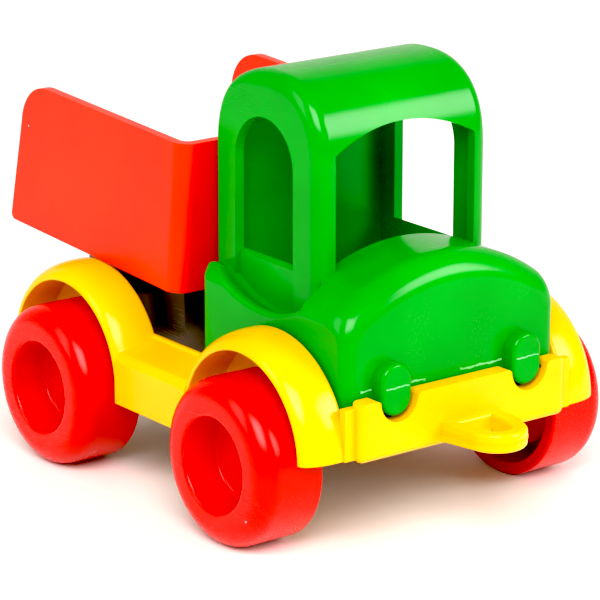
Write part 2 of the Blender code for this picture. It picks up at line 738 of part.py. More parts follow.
def join_bearings(chassis, end, axle_x):
    """Two ribs that hold an axle and a middle block for its keeper's screws."""
    top = DECK_TOP - REST_GAP
    if end == "rear":
        reach = (axle_x - HINGE_X) / cos(BED_PITCH)
        top = floor_line(reach, REST_GAP + BED_REST_WALL)[1] + REST_GAP
    rib_low = (axle_x - RIB_HALF_LENGTH, RIB_INNER, RIB_BOTTOM)
    rib_high = (axle_x + RIB_HALF_LENGTH, RIB_OUTER, top)
    join(chassis, box_pair(rib_low, rib_high), f"{end}_bearing_ribs")
    block_low = (axle_x - KEEPER_REACH, -KEEPER_HALF_WIDTH, RIB_BOTTOM)
    block_high = (axle_x + RIB_HALF_LENGTH, KEEPER_HALF_WIDTH, top)
    join(chassis, box(block_low, block_high), f"{end}_keeper_block")


def keeper_screw_places():
    """(name, x, y) of the screws that hold the axle keepers."""
    return [
        (f"{end}_keeper_{side}_screw", x - KEEPER_SCREW_SETBACK, sign * KEEPER_SCREW_Y)
        for end, x in AXLES.items()
        for side, sign in SIDES.items()
    ]


def cut_chassis_screw_holes(chassis):
    cut(chassis, screw_holes(DECK_BOTTOM, DECK_TOP), "deck_screw_holes")
    hole_top = DECK_TOP + FRAME_BOSS_HEIGHT - BED_REST_WALL
    ends = [
        ((FRAME_SCREW_X, sign * FRAME_SCREW_Y, 0.0), (FRAME_SCREW_X, sign * FRAME_SCREW_Y, hole_top))
        for sign in SIDES.values()
    ]
    cut(chassis, rods(ends, SCREW_HOLE_RADIUS), "frame_pilot_holes")
    ends = [((x, y, 0.0), (x, y, LEDGE_BOTTOM)) for _, x, y in keeper_screw_places()]
    cut(chassis, rods(ends, SCREW_HOLE_RADIUS), "keeper_pilot_holes")


def make_keepers():
    """Plates that close the bearing slots from below."""
    for end, x in AXLES.items():
        plate = box(
            (x - RIB_HALF_LENGTH, -RIB_OUTER, KEEPER_BOTTOM), (x + RIB_HALF_LENGTH, RIB_OUTER, KEEPER_TOP)
        )
        keeper = add_part(f"{end}_axle_keeper", plate, BLACK)
        lug = box(
            (x - KEEPER_REACH, -KEEPER_HALF_WIDTH, KEEPER_BOTTOM),
            (x, KEEPER_HALF_WIDTH, KEEPER_TOP),
        )
        join(keeper, lug, "screw_lugs")
        tongue = box(
            (x - AXLE_RADIUS, -RIB_OUTER, KEEPER_TOP - REST_GAP),
            (x + AXLE_RADIUS, RIB_OUTER, RIB_BOTTOM),
        )
        join(keeper, tongue, "tongue")
        ends = [
            ((screw_x, y, 0.0), (screw_x, y, DECK_TOP))
            for name, screw_x, y in keeper_screw_places()
            if name.startswith(end)
        ]
        cut(keeper, rods(ends, SCREW_HOLE_RADIUS), "screw_holes")


def screw_profile(length):
    """(radius, height) of a pan-head screw, down its outer side. Height 0 is under the head."""
    return [
        (0.0, length),
        (0.35 * SCREW_RADIUS, length),
        (SCREW_RADIUS, length - 1.4 * SCREW_RADIUS),
        (SCREW_RADIUS, 0.0),
        (SCREW_HEAD_RADIUS, 0.0),
        (SCREW_HEAD_RADIUS, -0.6 * SCREW_HEAD_HEIGHT),
        (0.75 * SCREW_HEAD_RADIUS, -SCREW_HEAD_HEIGHT),
        (0.0, -SCREW_HEAD_HEIGHT),
    ]


def make_screws():
    seat = LEDGE_BOTTOM - REST_GAP
    for name, x, y in screw_places():
        top = CAB_BOTTOM + CAB_BOSS_HEIGHT if name.startswith("cab") else DECK_TOP + FRAME_BOSS_HEIGHT
        length = top - BED_REST_WALL - REST_GAP - seat
        add_screw(name, (x, y, seat), length)
    seat = KEEPER_BOTTOM - REST_GAP
    for name, x, y in keeper_screw_places():
        add_screw(name, (x, y, seat), LEDGE_BOTTOM - REST_GAP - seat)


def add_screw(name, seat, length):
    screw = turned_part(name, screw_profile(length), STEEL, 12)
    screw.location = seat
    smooth(screw)


def hood_mesh(wall):
    """Hood and door panels as one solid with flat sides and an arched top, drawn in by a wall."""
    rear_x = CAB_REAR_X + DOOR_INSET + wall
    nose_x = NOSE_X - wall
    fillet = HOOD_FILLET - wall
    corner = max(NOSE_CORNER - wall, 0.0)
    crease = max(HOOD_CREASE - wall, 0.0)
    xs = [rear_x, *(nose_x - fillet * (1 - sin(pi / 2 * i / 6)) for i in range(7))]
    rows = []
    for x in xs:
        half = HOOD_HALF_WIDTH - wall - quarter_drop(x - nose_x + corner, corner)
        ys = [(half - crease) * i / 7 for i in range(8)]
        ys += [half - crease * (1 - sin(pi / 2 * i / 3)) for i in range(1, 4) if crease > 0]
        row = []
        for y in [-y for y in reversed(ys[1:])] + ys:
            drop = quarter_drop(x - nose_x + fillet, fillet) + quarter_drop(abs(y) - half + crease, crease)
            row.append((x, y, arch_height(y, wall) - drop))
        rows.append(row)
    return solid_under(rows, CAB_BOTTOM - CAB_SPARE - wall)


def solid_under(rows, low):
    """Closed solid between a grid of points and a level base."""
    shape = bmesh.new()
    grid = [[shape.verts.new(point) for point in row] for row in rows]
    for row, following in zip(grid, grid[1:]):
        for i in range(len(row) - 1):
            shape.faces.new((row[i], row[i + 1], following[i + 1], following[i]))
    bmesh.ops.triangulate(shape, faces=shape.faces)
    rim = grid[0] + [row[-1] for row in grid[1:-1]] + grid[-1][::-1] + [row[0] for row in grid[-2:0:-1]]
    base = [shape.verts.new((vert.co.x, vert.co.y, low)) for vert in rim]
    for i in range(len(rim)):
        shape.faces.new((rim[i - 1], rim[i], base[i], base[i - 1]))
    shape.faces.new(base)
    return finish(shape)


def cab_outline(wall):
    """(x, z) outline of the upper cab, drawn in by a wall and run on below the cab."""
    half = CAB_LENGTH / 2 - wall
    middle = CAB_REAR_X + CAB_LENGTH / 2
    low = CAB_BOTTOM - CAB_SPARE / 2 - wall
    top = [(middle + x, z) for x, z in vault(half, ROOF_SPRING, ROOF_RISE - wall, ROOF_POWER, 18)]
    return [(middle + half, low), *top, (middle - half, low)]


def upper_cab_mesh():
    """Upper cab as a solid with softened side edges."""
    shape = bmesh.new()
    shape.from_mesh(prism(cab_outline(0.0), "Y", -CAB_HALF_WIDTH, CAB_HALF_WIDTH))
    tolerance = 0.01 * MM
    rims = [
        e
        for e in shape.edges
        if all(abs(abs(v.co.y) - CAB_HALF_WIDTH) < tolerance for v in e.verts)
        and e.verts[0].co.y * e.verts[1].co.y > 0
        and max(v.co.z for v in e.verts) > CAB_BOTTOM
        and len(e.link_faces) == 2
        and abs(e.calc_face_angle_signed()) > radians(30)
    ]
    bmesh.ops.bevel(
        shape, geom=rims, offset=CAB_EDGE, segments=2, profile=0.5, affect="EDGES", material=-1
    )
    return finish(shape)


def side_window_outline():
    """(x, z) outline of the side windows, from the door panel's edge to a round top."""
    rear_x = WINDOW_CENTRE_X - WINDOW_HALF
    front_x = WINDOW_CENTRE_X + WINDOW_HALF
    centre = (WINDOW_CENTRE_X, WINDOW_TOP - WINDOW_HALF)
    top = arc(centre, WINDOW_HALF, 0.0, pi, 12)
    xs = [rear_x + (front_x - rear_x) * i / 8 for i in range(9)]
    return [*top, *((x, scoop_height(x) + WINDOW_SILL) for x in xs)]


def scoop_height(x):
    """Height of the door panels' top edge."""
    radius = SCOOP_REAR_RADIUS if x < SCOOP_LOW_X else SCOOP_FRONT_RADIUS
    return SCOOP_LOW_Z + radius - sqrt(radius**2 - (x - SCOOP_LOW_X) ** 2)


def windscreen_outline():
    """(y, z) outline of the windscreen, from the hood's arch to an arched top."""
    half = WINDSCREEN_HALF
    radius = (half**2 + WINDSCREEN_RISE**2) / (2 * WINDSCREEN_RISE)
    centre_z = WINDSCREEN_SIDE_TOP + WINDSCREEN_RISE - radius
    ys = [half * (1 - i / 4) for i in range(9)]
    top = [(y, centre_z + sqrt(radius**2 - y**2)) for y in ys]
    low = [(y, arch_height(y) + WINDOW_SILL) for y in reversed(ys)]
    return top + low


def cut_scoops(part, drop, near):
    """Take away what stands over the door panels' top edges, outside a distance from the middle."""
    outline = above(scoop_curve(drop), ROOF_TOP)
    for side, sign in SIDES.items():
        low, high = sorted((sign * near, sign * REACH))
        cut(part, prism(outline, "Y", low, high), f"{side}_scoop")


def under_panels_mesh():
    """Room under the hood and between the door panels."""
    room = bpy.data.objects.new("room", hood_mesh(CAB_WALL))
    CUTTERS.objects.link(room)
    cut_scoops(room, CAB_WALL, CAB_HALF_WIDTH - CAB_WALL)
    tools = [modifier.object for modifier in room.modifiers]
    mesh = evaluated_mesh(room)
    for tool in tools:
        bpy.data.objects.remove(tool, do_unlink=True)
    return mesh


def make_cab():
    cab = add_part("cab_shell", hood_mesh(0.0), GREEN)
    cut_scoops(cab, 0.0, CAB_HALF_WIDTH - CAB_WALL / 2)
    join(cab, upper_cab_mesh(), "upper_cab")
    cut(cab, under_panels_mesh(), "lower_room")
    inner_half = CAB_HALF_WIDTH - CAB_WALL
    cut(cab, prism(cab_outline(CAB_WALL), "Y", -inner_half, inner_half), "upper_room")
    cut(cab, box((-REACH, -REACH, 0.0), (REACH, REACH, CAB_BOTTOM)), "below_cab")
    cut(cab, prism(side_window_outline(), "Y", -REACH, REACH), "side_windows")
    windscreen = prism(
        windscreen_outline(), "X", CAB_FRONT_X - 4 * CAB_WALL, CAB_FRONT_X + REST_GAP
    )
    cut(cab, windscreen, "windscreen")
    for side, sign in SIDES.items():
        join(cab, headlamp_mesh(sign), f"{side}_headlamp")
    join_cab_bosses(cab)
    smooth(cab)


def headlamp_mesh(sign):
    """Upright rounded block of a headlamp, moulded on the nose."""
    centre_y = sign * LAMP_HALF_SPACING
    high = arc((centre_y, LAMP_CENTRE_Z + LAMP_STRAIGHT / 2), LAMP_RADIUS, 0.0, pi, 8)
    low = arc((centre_y, LAMP_LOW_Z), LAMP_RADIUS, pi, 2 * pi, 8)
    return prism(high + low, "X", NOSE_X - LAMP_ROOT, NOSE_X + LAMP_LENGTH)


def join_cab_bosses(cab):
    places = [(x, sign * y) for x, y in CAB_SCREWS.values() for sign in SIDES.values()]
    top = CAB_BOTTOM + CAB_BOSS_HEIGHT
    bosses = rods([((x, y, CAB_BOTTOM), (x, y, top)) for x, y in places], SCREW_BOSS_RADIUS)
    join(cab, bosses, "screw_bosses")
    hole_top = top - BED_REST_WALL
    holes = rods([((x, y, 0.0), (x, y, hole_top)) for x, y in places], SCREW_HOLE_RADIUS)
    cut(cab, holes, "pilot_holes")


def bed_side_outline(wall):
    """(x, z) side outline of the bed round the hinge, drawn in by a wall and open at the top and rear."""
    low = BED_FLOOR_OFFSET + wall
    top = BED_FLOOR_OFFSET + BED_HEIGHT
    front_low = BED_FRONT - wall
    front_high = BED_FRONT + BED_FRONT_LEAN - wall
    if wall > 0:
        spill = BED_REAR + REACH
        return [(-spill, low), (front_low, low), (front_high, top), (front_high, REACH), (-spill, REACH)]
    rear_high_x = -BED_REAR + BED_REAR_LEAN
    centre = (rear_high_x + BED_TOP_ROUND, top - BED_TOP_ROUND)
    corner = arc(centre, BED_TOP_ROUND, radians(90), radians(176), ARC_STEPS)
    heel = [(-BED_REAR, low + 1.2 * MM), (-BED_REAR + 0.8 * MM, low)]
    return [(front_low, low), (front_high, top), *corner, *heel]


def bed_body_mesh():
    """Outer shape of the bed as a solid, with its upright front edges rounded."""
    shape = bmesh.new()
    shape.from_mesh(prism(bed_side_outline(0.0), "Y", -BED_HALF_WIDTH, BED_HALF_WIDTH))
    tolerance = 0.01 * MM
    corners = [
        e
        for e in shape.edges
        if all(abs(v.co.y) > BED_HALF_WIDTH - tolerance and v.co.x > BED_FRONT - tolerance for v in e.verts)
        and e.verts[0].co.y * e.verts[1].co.y > 0
    ]
    bmesh.ops.bevel(
        shape, geom=corners, offset=BED_EDGE, segments=4, profile=0.5, affect="EDGES", material=-1
    )
    return finish(shape)


def lug_outline():
    """(x, z) outline of a hinge lug under the bed's floor."""
    low = arc((0.0, 0.0), LUG_RADIUS, radians(180), radians(360), 8)
    top = BED_FLOOR_OFFSET + BED_WALL / 2
    return [(-LUG_RADIUS, top), *low, (LUG_RADIUS, top)]


def make_bed():
    bed = add_part("dump_bed", bed_body_mesh(), ORANGE)
    bed.location = (HINGE_X, 0.0, HINGE_Z)
    bed.rotation_euler = (0.0, BED_PITCH, 0.0)
    inner_half = BED_HALF_WIDTH - BED_WALL
    cut(bed, prism(bed_side_outline(BED_WALL), "Y", -inner_half, inner_half), "load_space")
    for side, sign in SIDES.items():
        low, high = sorted((sign * LUG_INNER, sign * LUG_OUTER))
        join(bed, prism(lug_outline(), "Y", low, high), f"{side}_lug")
    bore = rod((0.0, -REACH, 0.0), (0.0, REACH, 0.0), HINGE_PIN_RADIUS + BORE_GAP)
    cut(bed, bore, "hinge_bore")
    smooth(bed)


def make_hinge_pin():
    mesh = rod((HINGE_X, -EAR_OUTER, HINGE_Z), (HINGE_X, EAR_OUTER, HINGE_Z), HINGE_PIN_RADIUS)
    pin = add_part("bed_hinge_pin", mesh, STEEL, (HINGE_X, 0.0, HINGE_Z))
    smooth(pin)


make_fender_frame()
make_chassis()
make_cab()
make_bed()
make_hinge_pin()
make_axles()
make_wheels()
make_keepers()
make_screws()
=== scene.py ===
"""Toy dump truck, finished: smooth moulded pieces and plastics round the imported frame.

The shapes are worked out in millimetres, in the frame's axes: +X to the truck's front, +Y to its
left and +Z up. A finished mesh is turned into metres once, in piece().
"""

from math import cos, pi, radians, sin, sqrt, tan

import bmesh
import bpy
from mathutils import Matrix, Vector


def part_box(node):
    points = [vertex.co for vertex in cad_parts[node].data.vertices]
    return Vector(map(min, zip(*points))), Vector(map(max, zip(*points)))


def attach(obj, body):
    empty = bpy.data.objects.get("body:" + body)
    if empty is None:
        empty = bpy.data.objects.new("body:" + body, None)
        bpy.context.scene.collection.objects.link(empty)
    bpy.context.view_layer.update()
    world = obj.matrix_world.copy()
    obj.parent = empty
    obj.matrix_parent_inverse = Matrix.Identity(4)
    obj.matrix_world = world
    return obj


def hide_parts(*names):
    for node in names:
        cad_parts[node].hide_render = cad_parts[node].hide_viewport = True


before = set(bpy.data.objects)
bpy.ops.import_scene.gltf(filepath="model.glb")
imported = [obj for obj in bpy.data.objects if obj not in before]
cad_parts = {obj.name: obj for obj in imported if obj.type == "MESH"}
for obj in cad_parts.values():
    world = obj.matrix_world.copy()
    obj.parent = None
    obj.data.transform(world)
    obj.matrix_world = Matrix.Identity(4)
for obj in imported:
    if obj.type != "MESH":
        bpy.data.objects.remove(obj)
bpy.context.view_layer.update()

MM = 0.001


def box_mm(node):
    """Lowest and highest corners of a CAD node, in millimetres."""
    low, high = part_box(node)
    return Vector(low) / MM, Vector(high) / MM


CAB_LOW, CAB_HIGH = box_mm("cab_shell")
FRAME_LOW, FRAME_HIGH = box_mm("fender_frame")
BED_HIGH = box_mm("dump_bed")[1]
PIN_LOW, PIN_HIGH = box_mm("bed_hinge_pin")
AXLE_X = {end: sum(box_mm(f"{end}_axle"), Vector()).x / 2 for end in ("front", "rear")}
WHEEL_LOW, WHEEL_HIGH = box_mm("front_left_wheel")
HINGE_X = (PIN_LOW.x + PIN_HIGH.x) / 2
HINGE_Z = (PIN_LOW.z + PIN_HIGH.z) / 2

SIDES = {"left": 1, "right": -1}

# Fasteners
SCREW_BORE = 1.4
SCREW_BOSS = 2.8
PIN_BORE = 1.5
PIN_LUG = 2.8

# Wheels
WHEEL_RADIUS = (WHEEL_HIGH.z - WHEEL_LOW.z) / 2
WHEEL_OUTER = WHEEL_HIGH.y
WHEEL_WIDTH = WHEEL_HIGH.y - WHEEL_LOW.y
HUB_DEPTH = 6.9
HUB_WEB = 8.1

# Cab
CAB_REAR = CAB_LOW.x
CAB_FRONT = CAB_REAR + 30.3
CAB_HALF = 19.0
CAB_WALL = 1.9
CAB_BOTTOM = 25.8
CAB_BOSS_HEIGHT = 11.0
ROOF_TOP = CAB_HIGH.z
ROOF_RISE = 16.0
ROOF_POWER = 2.38
CAB_REAR_ROUND = 1.1
CAB_FRONT_ROUND = 2.9
HOOD_HALF = CAB_HIGH.y
HOOD_TOP = 50.0
HOOD_ARCH = 37.3
HOOD_FILLET = 5.2
HOOD_CREASE = 1.3
NOSE_CORNER = 2.6
DOOR_CORNER = 1.9
LIP_ROUND = 0.85
DOOR_REAR = CAB_REAR + 1.6
PANEL_TOP = 43.6
LAMP_FRONT = CAB_HIGH.x
NOSE = LAMP_FRONT - 2.75
LAMP_Y = 14.6
LAMP_Z = 29.15
LAMP_RADIUS = 3.25
LAMP_STRAIGHT = 2.8
LAMP_GAP = 0.8  # from a headlamp to the bumper's notch round it
CLEAR = 94.0  # a height over everything
SCOOP_X = 19.0
SCOOP_Z = 38.6
SCOOP_REAR_RADIUS = 26.0
SCOOP_FRONT_RADIUS = 23.0
SCOOP_END = CAB_FRONT + 0.5
GUTTER = 1.3
WINDOW_X = 13.5
WINDOW_HALF = 8.4
WINDOW_TOP = 71.3
SCREEN_HALF = 15.5
SCREEN_SIDE_TOP = 66.9
SCREEN_RISE = 4.1

# Frame
RIM = FRAME_HIGH.y
INNER = 24.1
SKIRT = 25.3
ARCH_Z = 17.7
ARCH_RADIUS = 16.4
CROWN_RADIUS = FRAME_HIGH.z - ARCH_Z
LEG_BOTTOM = 18.1
RAIL_BOTTOM = FRAME_LOW.z
BUMPER_BACK = NOSE + 0.4
BUMPER_FRONT = BUMPER_BACK + 3.0
BUMPER_CORE = 1.5
BUMPER_BOTTOM = 17.4
BUMPER_TOP = 28.2
BUMPER_HALF = 23.1
TOW_TIP = FRAME_HIGH.x
TOW_Y = 0.9
TOW_LOW = 18.3
TOW_HIGH = 21.8
TOW_ROUND = 5.5
TOW_HALF = 6.6
TOW_BAND = 2.9
LEDGE_BOTTOM = 21.0
LEDGE_TOP = 23.0
BAY_HALF = 13.4
FENDER_ROUND = (6.4, 2.75)  # across the truck and up

# Chassis and bed
DECK_TOP = 25.5
DECK_BOTTOM = 23.3
PITCH = radians(3.0)
BED_HALF = BED_HIGH.y
BED_WALL = 1.8
BED_FLOOR = 3.3  # hinge axis to the underside of the floor, square to the floor
BED_HEIGHT = 28.2
BED_FRONT = 39.85
BED_FRONT_LEAN = 1.25
BED_REAR = 14.6
BED_REAR_LEAN = 3.4
BED_TOP_ROUND = 8.5
LUG_INNER = 9.0
LUG_OUTER = 12.0
EAR_INNER = 12.4
EAR_OUTER = 15.4
ROOT = DECK_BOTTOM + 0.3  # where whatever stands on the deck starts
BOSS_TOP = 32.0
REST_FRONT = -12.2
REST_HALF = 18.0
REST_WALL = 2.0
RIB_BOTTOM = 13.2
RIB_HALF = 3.6
KEEPER_REACH = 8.0
KEEPER_HALF = 7.6
KEEPER_SCREW_SETBACK = 5.4
KEEPER_SCREW_Y = 4.6
AXLE_BORE = 1.8


# Outlines, as lists of (across, up) points


def arc(centre, radius, start, end, steps):
    """Points on a circle between two angles in degrees, both included."""
    angles = [radians(start + (end - start) * i / steps) for i in range(steps + 1)]
    return [(centre[0] + radius * cos(a), centre[1] + radius * sin(a)) for a in angles]


def rounded(corners, steps=6):
    """An outline whose (across, up, radius) corners are rounded. A radius of 0 stays sharp."""
    points = []
    count = len(corners)
    for i, (u, v, radius) in enumerate(corners):
        here = Vector((u, v))
        if radius == 0:
            points.append((u, v))
            continue
        before = (Vector(corners[i - 1][:2]) - here).normalized()
        after = (Vector(corners[(i + 1) % count][:2]) - here).normalized()
        half = before.angle(after) / 2
        reach = radius / tan(half)
        centre = here + (before + after).normalized() * (radius / sin(half))
        first = here + before * reach - centre
        last = here + after * reach - centre
        turn = first.angle_signed(last)
        for k in range(steps + 1):
            spoke = first.copy()
            spoke.rotate(Matrix.Rotation(-turn * k / steps, 2))
            points.append(tuple(centre + spoke))
    return points


def vault(half, spring, rise, power, steps):
    """A superellipse arch from right to left, standing on its spring line."""
    points = []
    for i in range(steps + 1):
        angle = pi * i / steps
        across = half * abs(cos(angle)) ** (2 / power)
        points.append((across if i < steps / 2 else -across, spring + rise * sin(angle) ** (2 / power)))
    return points


def quarter(depth, radius):
    """How far a quarter-round edge falls at a depth into its width."""
    depth = min(max(depth, 0.0), radius)
    return radius - sqrt(radius**2 - depth**2)


def smoothstep(low, high, value):
    t = min(max((value - low) / (high - low), 0.0), 1.0)
    return t * t * (3 - 2 * t)


def arch_height(y, inset=0.0):
    radius = HOOD_ARCH - inset
    return HOOD_TOP - inset - radius + sqrt(radius**2 - y**2)


def scoop_height(x):
    """Height of the door panels' top edge."""
    radius = SCOOP_REAR_RADIUS if x < SCOOP_X else SCOOP_FRONT_RADIUS
    return min(PANEL_TOP, SCOOP_Z + radius - sqrt(radius**2 - (x - SCOOP_X) ** 2))


def side_half(x, inset=0.0):
    """Half the width over the hood's and door panels' flat sides, less at their rounded ends."""
    nose = max(NOSE_CORNER - inset, 0.05)
    door = max(DOOR_CORNER - inset, 0.05)
    ends = quarter(x - (NOSE - inset) + nose, nose) + quarter(DOOR_REAR + inset + door - x, door)
    return HOOD_HALF - inset - ends


def gutter_height(x, y):
    """The scoop's surface: it falls from the panel's lip to the cab's wall."""
    across = 1 - smoothstep(CAB_HALF + 0.2, HOOD_HALF - 0.9, abs(y))
    along = smoothstep(-2.0, 5.0, x) * (1 - 0.75 * smoothstep(18.0, 29.0, x))
    lip = quarter(abs(y) - side_half(x) + LIP_ROUND, LIP_ROUND) + quarter(DOOR_REAR + 1.5 - x, 1.5)
    return scoop_height(x) - GUTTER * across * along - lip


def screw_place(name, side):
    """(x, y) of a screw's middle."""
    low, high = box_mm(f"{name}_{side}_screw")
    return (low.x + high.x) / 2, (low.y + high.y) / 2


# Solids, as meshes in millimetres

TO_WORLD = {
    "X": Matrix(((0, 0, 1, 0), (1, 0, 0, 0), (0, 1, 0, 0), (0, 0, 0, 1))),
    "Y": Matrix(((1, 0, 0, 0), (0, 0, -1, 0), (0, 1, 0, 0), (0, 0, 0, 1))),
    "Z": Matrix.Identity(4),
}


def as_mesh(shape):
    """A bmesh as a mesh. The bmesh is freed."""
    mesh = bpy.data.meshes.new("solid")
    shape.to_mesh(mesh)
    shape.free()
    return mesh


def closed(shape):
    """A bmesh as a mesh, welded and facing outwards."""
    bmesh.ops.remove_doubles(shape, verts=shape.verts, dist=0.002)
    bmesh.ops.dissolve_degenerate(shape, edges=shape.edges, dist=0.001)
    bmesh.ops.recalc_face_normals(shape, faces=shape.faces)
    return as_mesh(shape)


def extruded(outline, axis, low, high):
    """An outline of (y, z), (x, z) or (x, y) points extruded along X, Y or Z."""
    shape = bmesh.new()
    face = shape.faces.new([shape.verts.new((u, v, low if axis != "Y" else -low)) for u, v in outline])
    depth = high - low if axis != "Y" else low - high
    grown = bmesh.ops.extrude_face_region(shape, geom=[face])["geom"]
    bmesh.ops.translate(
        shape, verts=[v for v in grown if isinstance(v, bmesh.types.BMVert)], vec=(0, 0, depth)
    )
    bmesh.ops.transform(shape, matrix=TO_WORLD[axis], verts=shape.verts)
    return closed(shape)


def block(low, high):
    shape = bmesh.new()
    low = Vector(low)
    high = Vector(high)
    place = Matrix.Translation((low + high) / 2) @ Matrix.Diagonal((*(high - low), 1.0))
    bmesh.ops.create_cube(shape, size=1.0, matrix=place)
    return closed(shape)


def spun(profile, centre, steps=96):
    """A profile of (radius, y) points turned about the Y line through an (x, z) centre."""
    shape = bmesh.new()
    line = [shape.verts.new((centre[0] + radius, y, centre[1])) for radius, y in profile]
    edges = [shape.edges.new(pair) for pair in zip(line, line[1:])]
    bmesh.ops.spin(
        shape,
        geom=line + edges,
        cent=(centre[0], 0, centre[1]),
        axis=(0, 1, 0),
        angle=2 * pi,
        steps=steps,
        use_merge=True,
    )
    return closed(shape)


def grid_solid(rows, level):
    """A closed solid between a grid of points and a level base under or over it."""
    shape = bmesh.new()
    grid = [[shape.verts.new(point) for point in row] for row in rows]
    for row, following in zip(grid, grid[1:]):
        for i in range(len(row) - 1):
            shape.faces.new((row[i], row[i + 1], following[i + 1], following[i]))
    rim = grid[0] + [row[-1] for row in grid[1:-1]] + grid[-1][::-1] + [row[0] for row in grid[-2:0:-1]]
    base = [shape.verts.new((vert.co.x, vert.co.y, level)) for vert in rim]
    for i in range(len(rim)):
        shape.faces.new((rim[i - 1], rim[i], base[i], base[i - 1]))
    shape.faces.new(base)
    return closed(shape)


def cushion(outline, radii, half):
    """An (x, z) outline extruded across +-half, its rims rounded by a radius for each point."""
    count = len(outline)
    shape = bmesh.new()
    rings = []
    steps = 8
    sides = [(-1, pi / 2 * i / steps) for i in range(steps + 1)]
    sides += [(1, pi / 2 * i / steps) for i in range(steps, -1, -1)]
    for side, angle in sides:
        ring = []
        for i, (x, z) in enumerate(outline):
            along = Vector(outline[(i + 1) % count]) - Vector(outline[i - 1])
            inward = Vector((-along.y, along.x)).normalized()
            reach = radii[i] * (1 - sin(angle))
            lift = radii[i] * (1 - cos(angle))
            ring.append(
                shape.verts.new((x + inward.x * reach, side * (half - lift), z + inward.y * reach))
            )
        rings.append(ring)
    for ring, following in zip(rings, rings[1:]):
        for i in range(count):
            shape.faces.new((ring[i - 1], ring[i], following[i], following[i - 1]))
    shape.faces.new(rings[0])
    shape.faces.new(rings[-1])
    return closed(shape)


def rod(start, end, radius, steps=32):
    shape = bmesh.new()
    start = Vector(start)
    end = Vector(end)
    turn = Vector((0, 0, 1)).rotation_difference(end - start).to_matrix().to_4x4()
    bmesh.ops.create_cone(
        shape,
        cap_ends=True,
        segments=steps,
        radius1=radius,
        radius2=radius,
        depth=(end - start).length,
        matrix=Matrix.Translation((start + end) / 2) @ turn,
    )
    return closed(shape)


def combined(base, *steps):
    """A mesh after a row of Booleans, given as ("join" or "cut", mesh)."""
    work = bpy.data.objects.new("work", base)
    bpy.context.scene.collection.objects.link(work)
    tools = []
    for kind, mesh in steps:
        tool = bpy.data.objects.new("tool", mesh)
        bpy.context.scene.collection.objects.link(tool)
        tools.append(tool)
        boolean = work.modifiers.new(kind, "BOOLEAN")
        boolean.operation = "UNION" if kind == "join" else "DIFFERENCE"
        boolean.solver = "EXACT"
        boolean.object = tool
    bpy.context.view_layer.update()
    graph = bpy.context.evaluated_depsgraph_get()
    mesh = bpy.data.meshes.new_from_object(work.evaluated_get(graph))
    for helper in [work, *tools]:
        bpy.data.objects.remove(helper, do_unlink=True)
    shape = bmesh.new()
    shape.from_mesh(mesh)
    bmesh.ops.remove_doubles(shape, verts=shape.verts, dist=0.004)
    bmesh.ops.dissolve_degenerate(shape, edges=shape.edges, dist=0.003)
    return as_mesh(shape)


def eased(mesh, width, pick, segments=3, limit=28):
    """Rounds the edges sharper than the limit, in degrees, whose ends pick() accepts."""
    shape = bmesh.new()
    shape.from_mesh(mesh)
    edges = [
        edge
        for edge in shape.edges
        if len(edge.link_faces) == 2
        and edge.calc_face_angle(0) > radians(limit)
        and pick(edge.verts[0].co, edge.verts[1].co)
    ]
    if edges:
        bmesh.ops.bevel(
            shape,
            geom=edges,
            offset=width,
            segments=segments,
            profile=0.5,
            affect="EDGES",
            material=-1,
            clamp_overlap=True,
            miter_outer="ARC",
        )
    bmesh.ops.dissolve_degenerate(shape, edges=shape.edges, dist=0.002)
    return as_mesh(shape)


def piece(name, mesh, material, body, nodes, sharp=38):
    """A finished piece: in metres, shaded smooth, riding on its body in place of CAD nodes."""
    mesh = mesh.copy()
    mesh.transform(Matrix.Scale(MM, 4))
    mesh.name = name
    mesh.materials.clear()
    mesh.materials.append(material)
    mesh.shade_smooth()
    mesh.set_sharp_from_angle(angle=radians(sharp))
    made = bpy.data.objects.new(name, mesh)
    bpy.context.scene.collection.objects.link(made)
    weighted = made.modifiers.new("flat_faces", "WEIGHTED_NORMAL")
    weighted.keep_sharp = True
    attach(made, body)
    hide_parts(*nodes)
    return made


# Materials


def linear(code):
    """An sRGB hex colour as linear red, green, blue and alpha."""
    channels = [int(code[i : i + 2], 16) / 255 for i in (0, 2, 4)]
    return (*[c / 12.92 if c <= 0.04045 else ((c + 0.055) / 1.055) ** 2.4 for c in channels], 1.0)


def node(tree, kind, settings=None, **links):
    """Adds a node. Settings are its attributes, and links its inputs: values or sockets."""
    made = tree.nodes.new(kind)
    for key, value in (settings or {}).items():
        setattr(made, key, value)
    for key, value in links.items():
        socket = made.inputs[int(key[1:])] if key[0] == "i" and key[1:].isdigit() else made.inputs[key]
        if isinstance(value, bpy.types.NodeSocket):
            tree.links.new(value, socket)
        else:
            socket.default_value = value
    return made


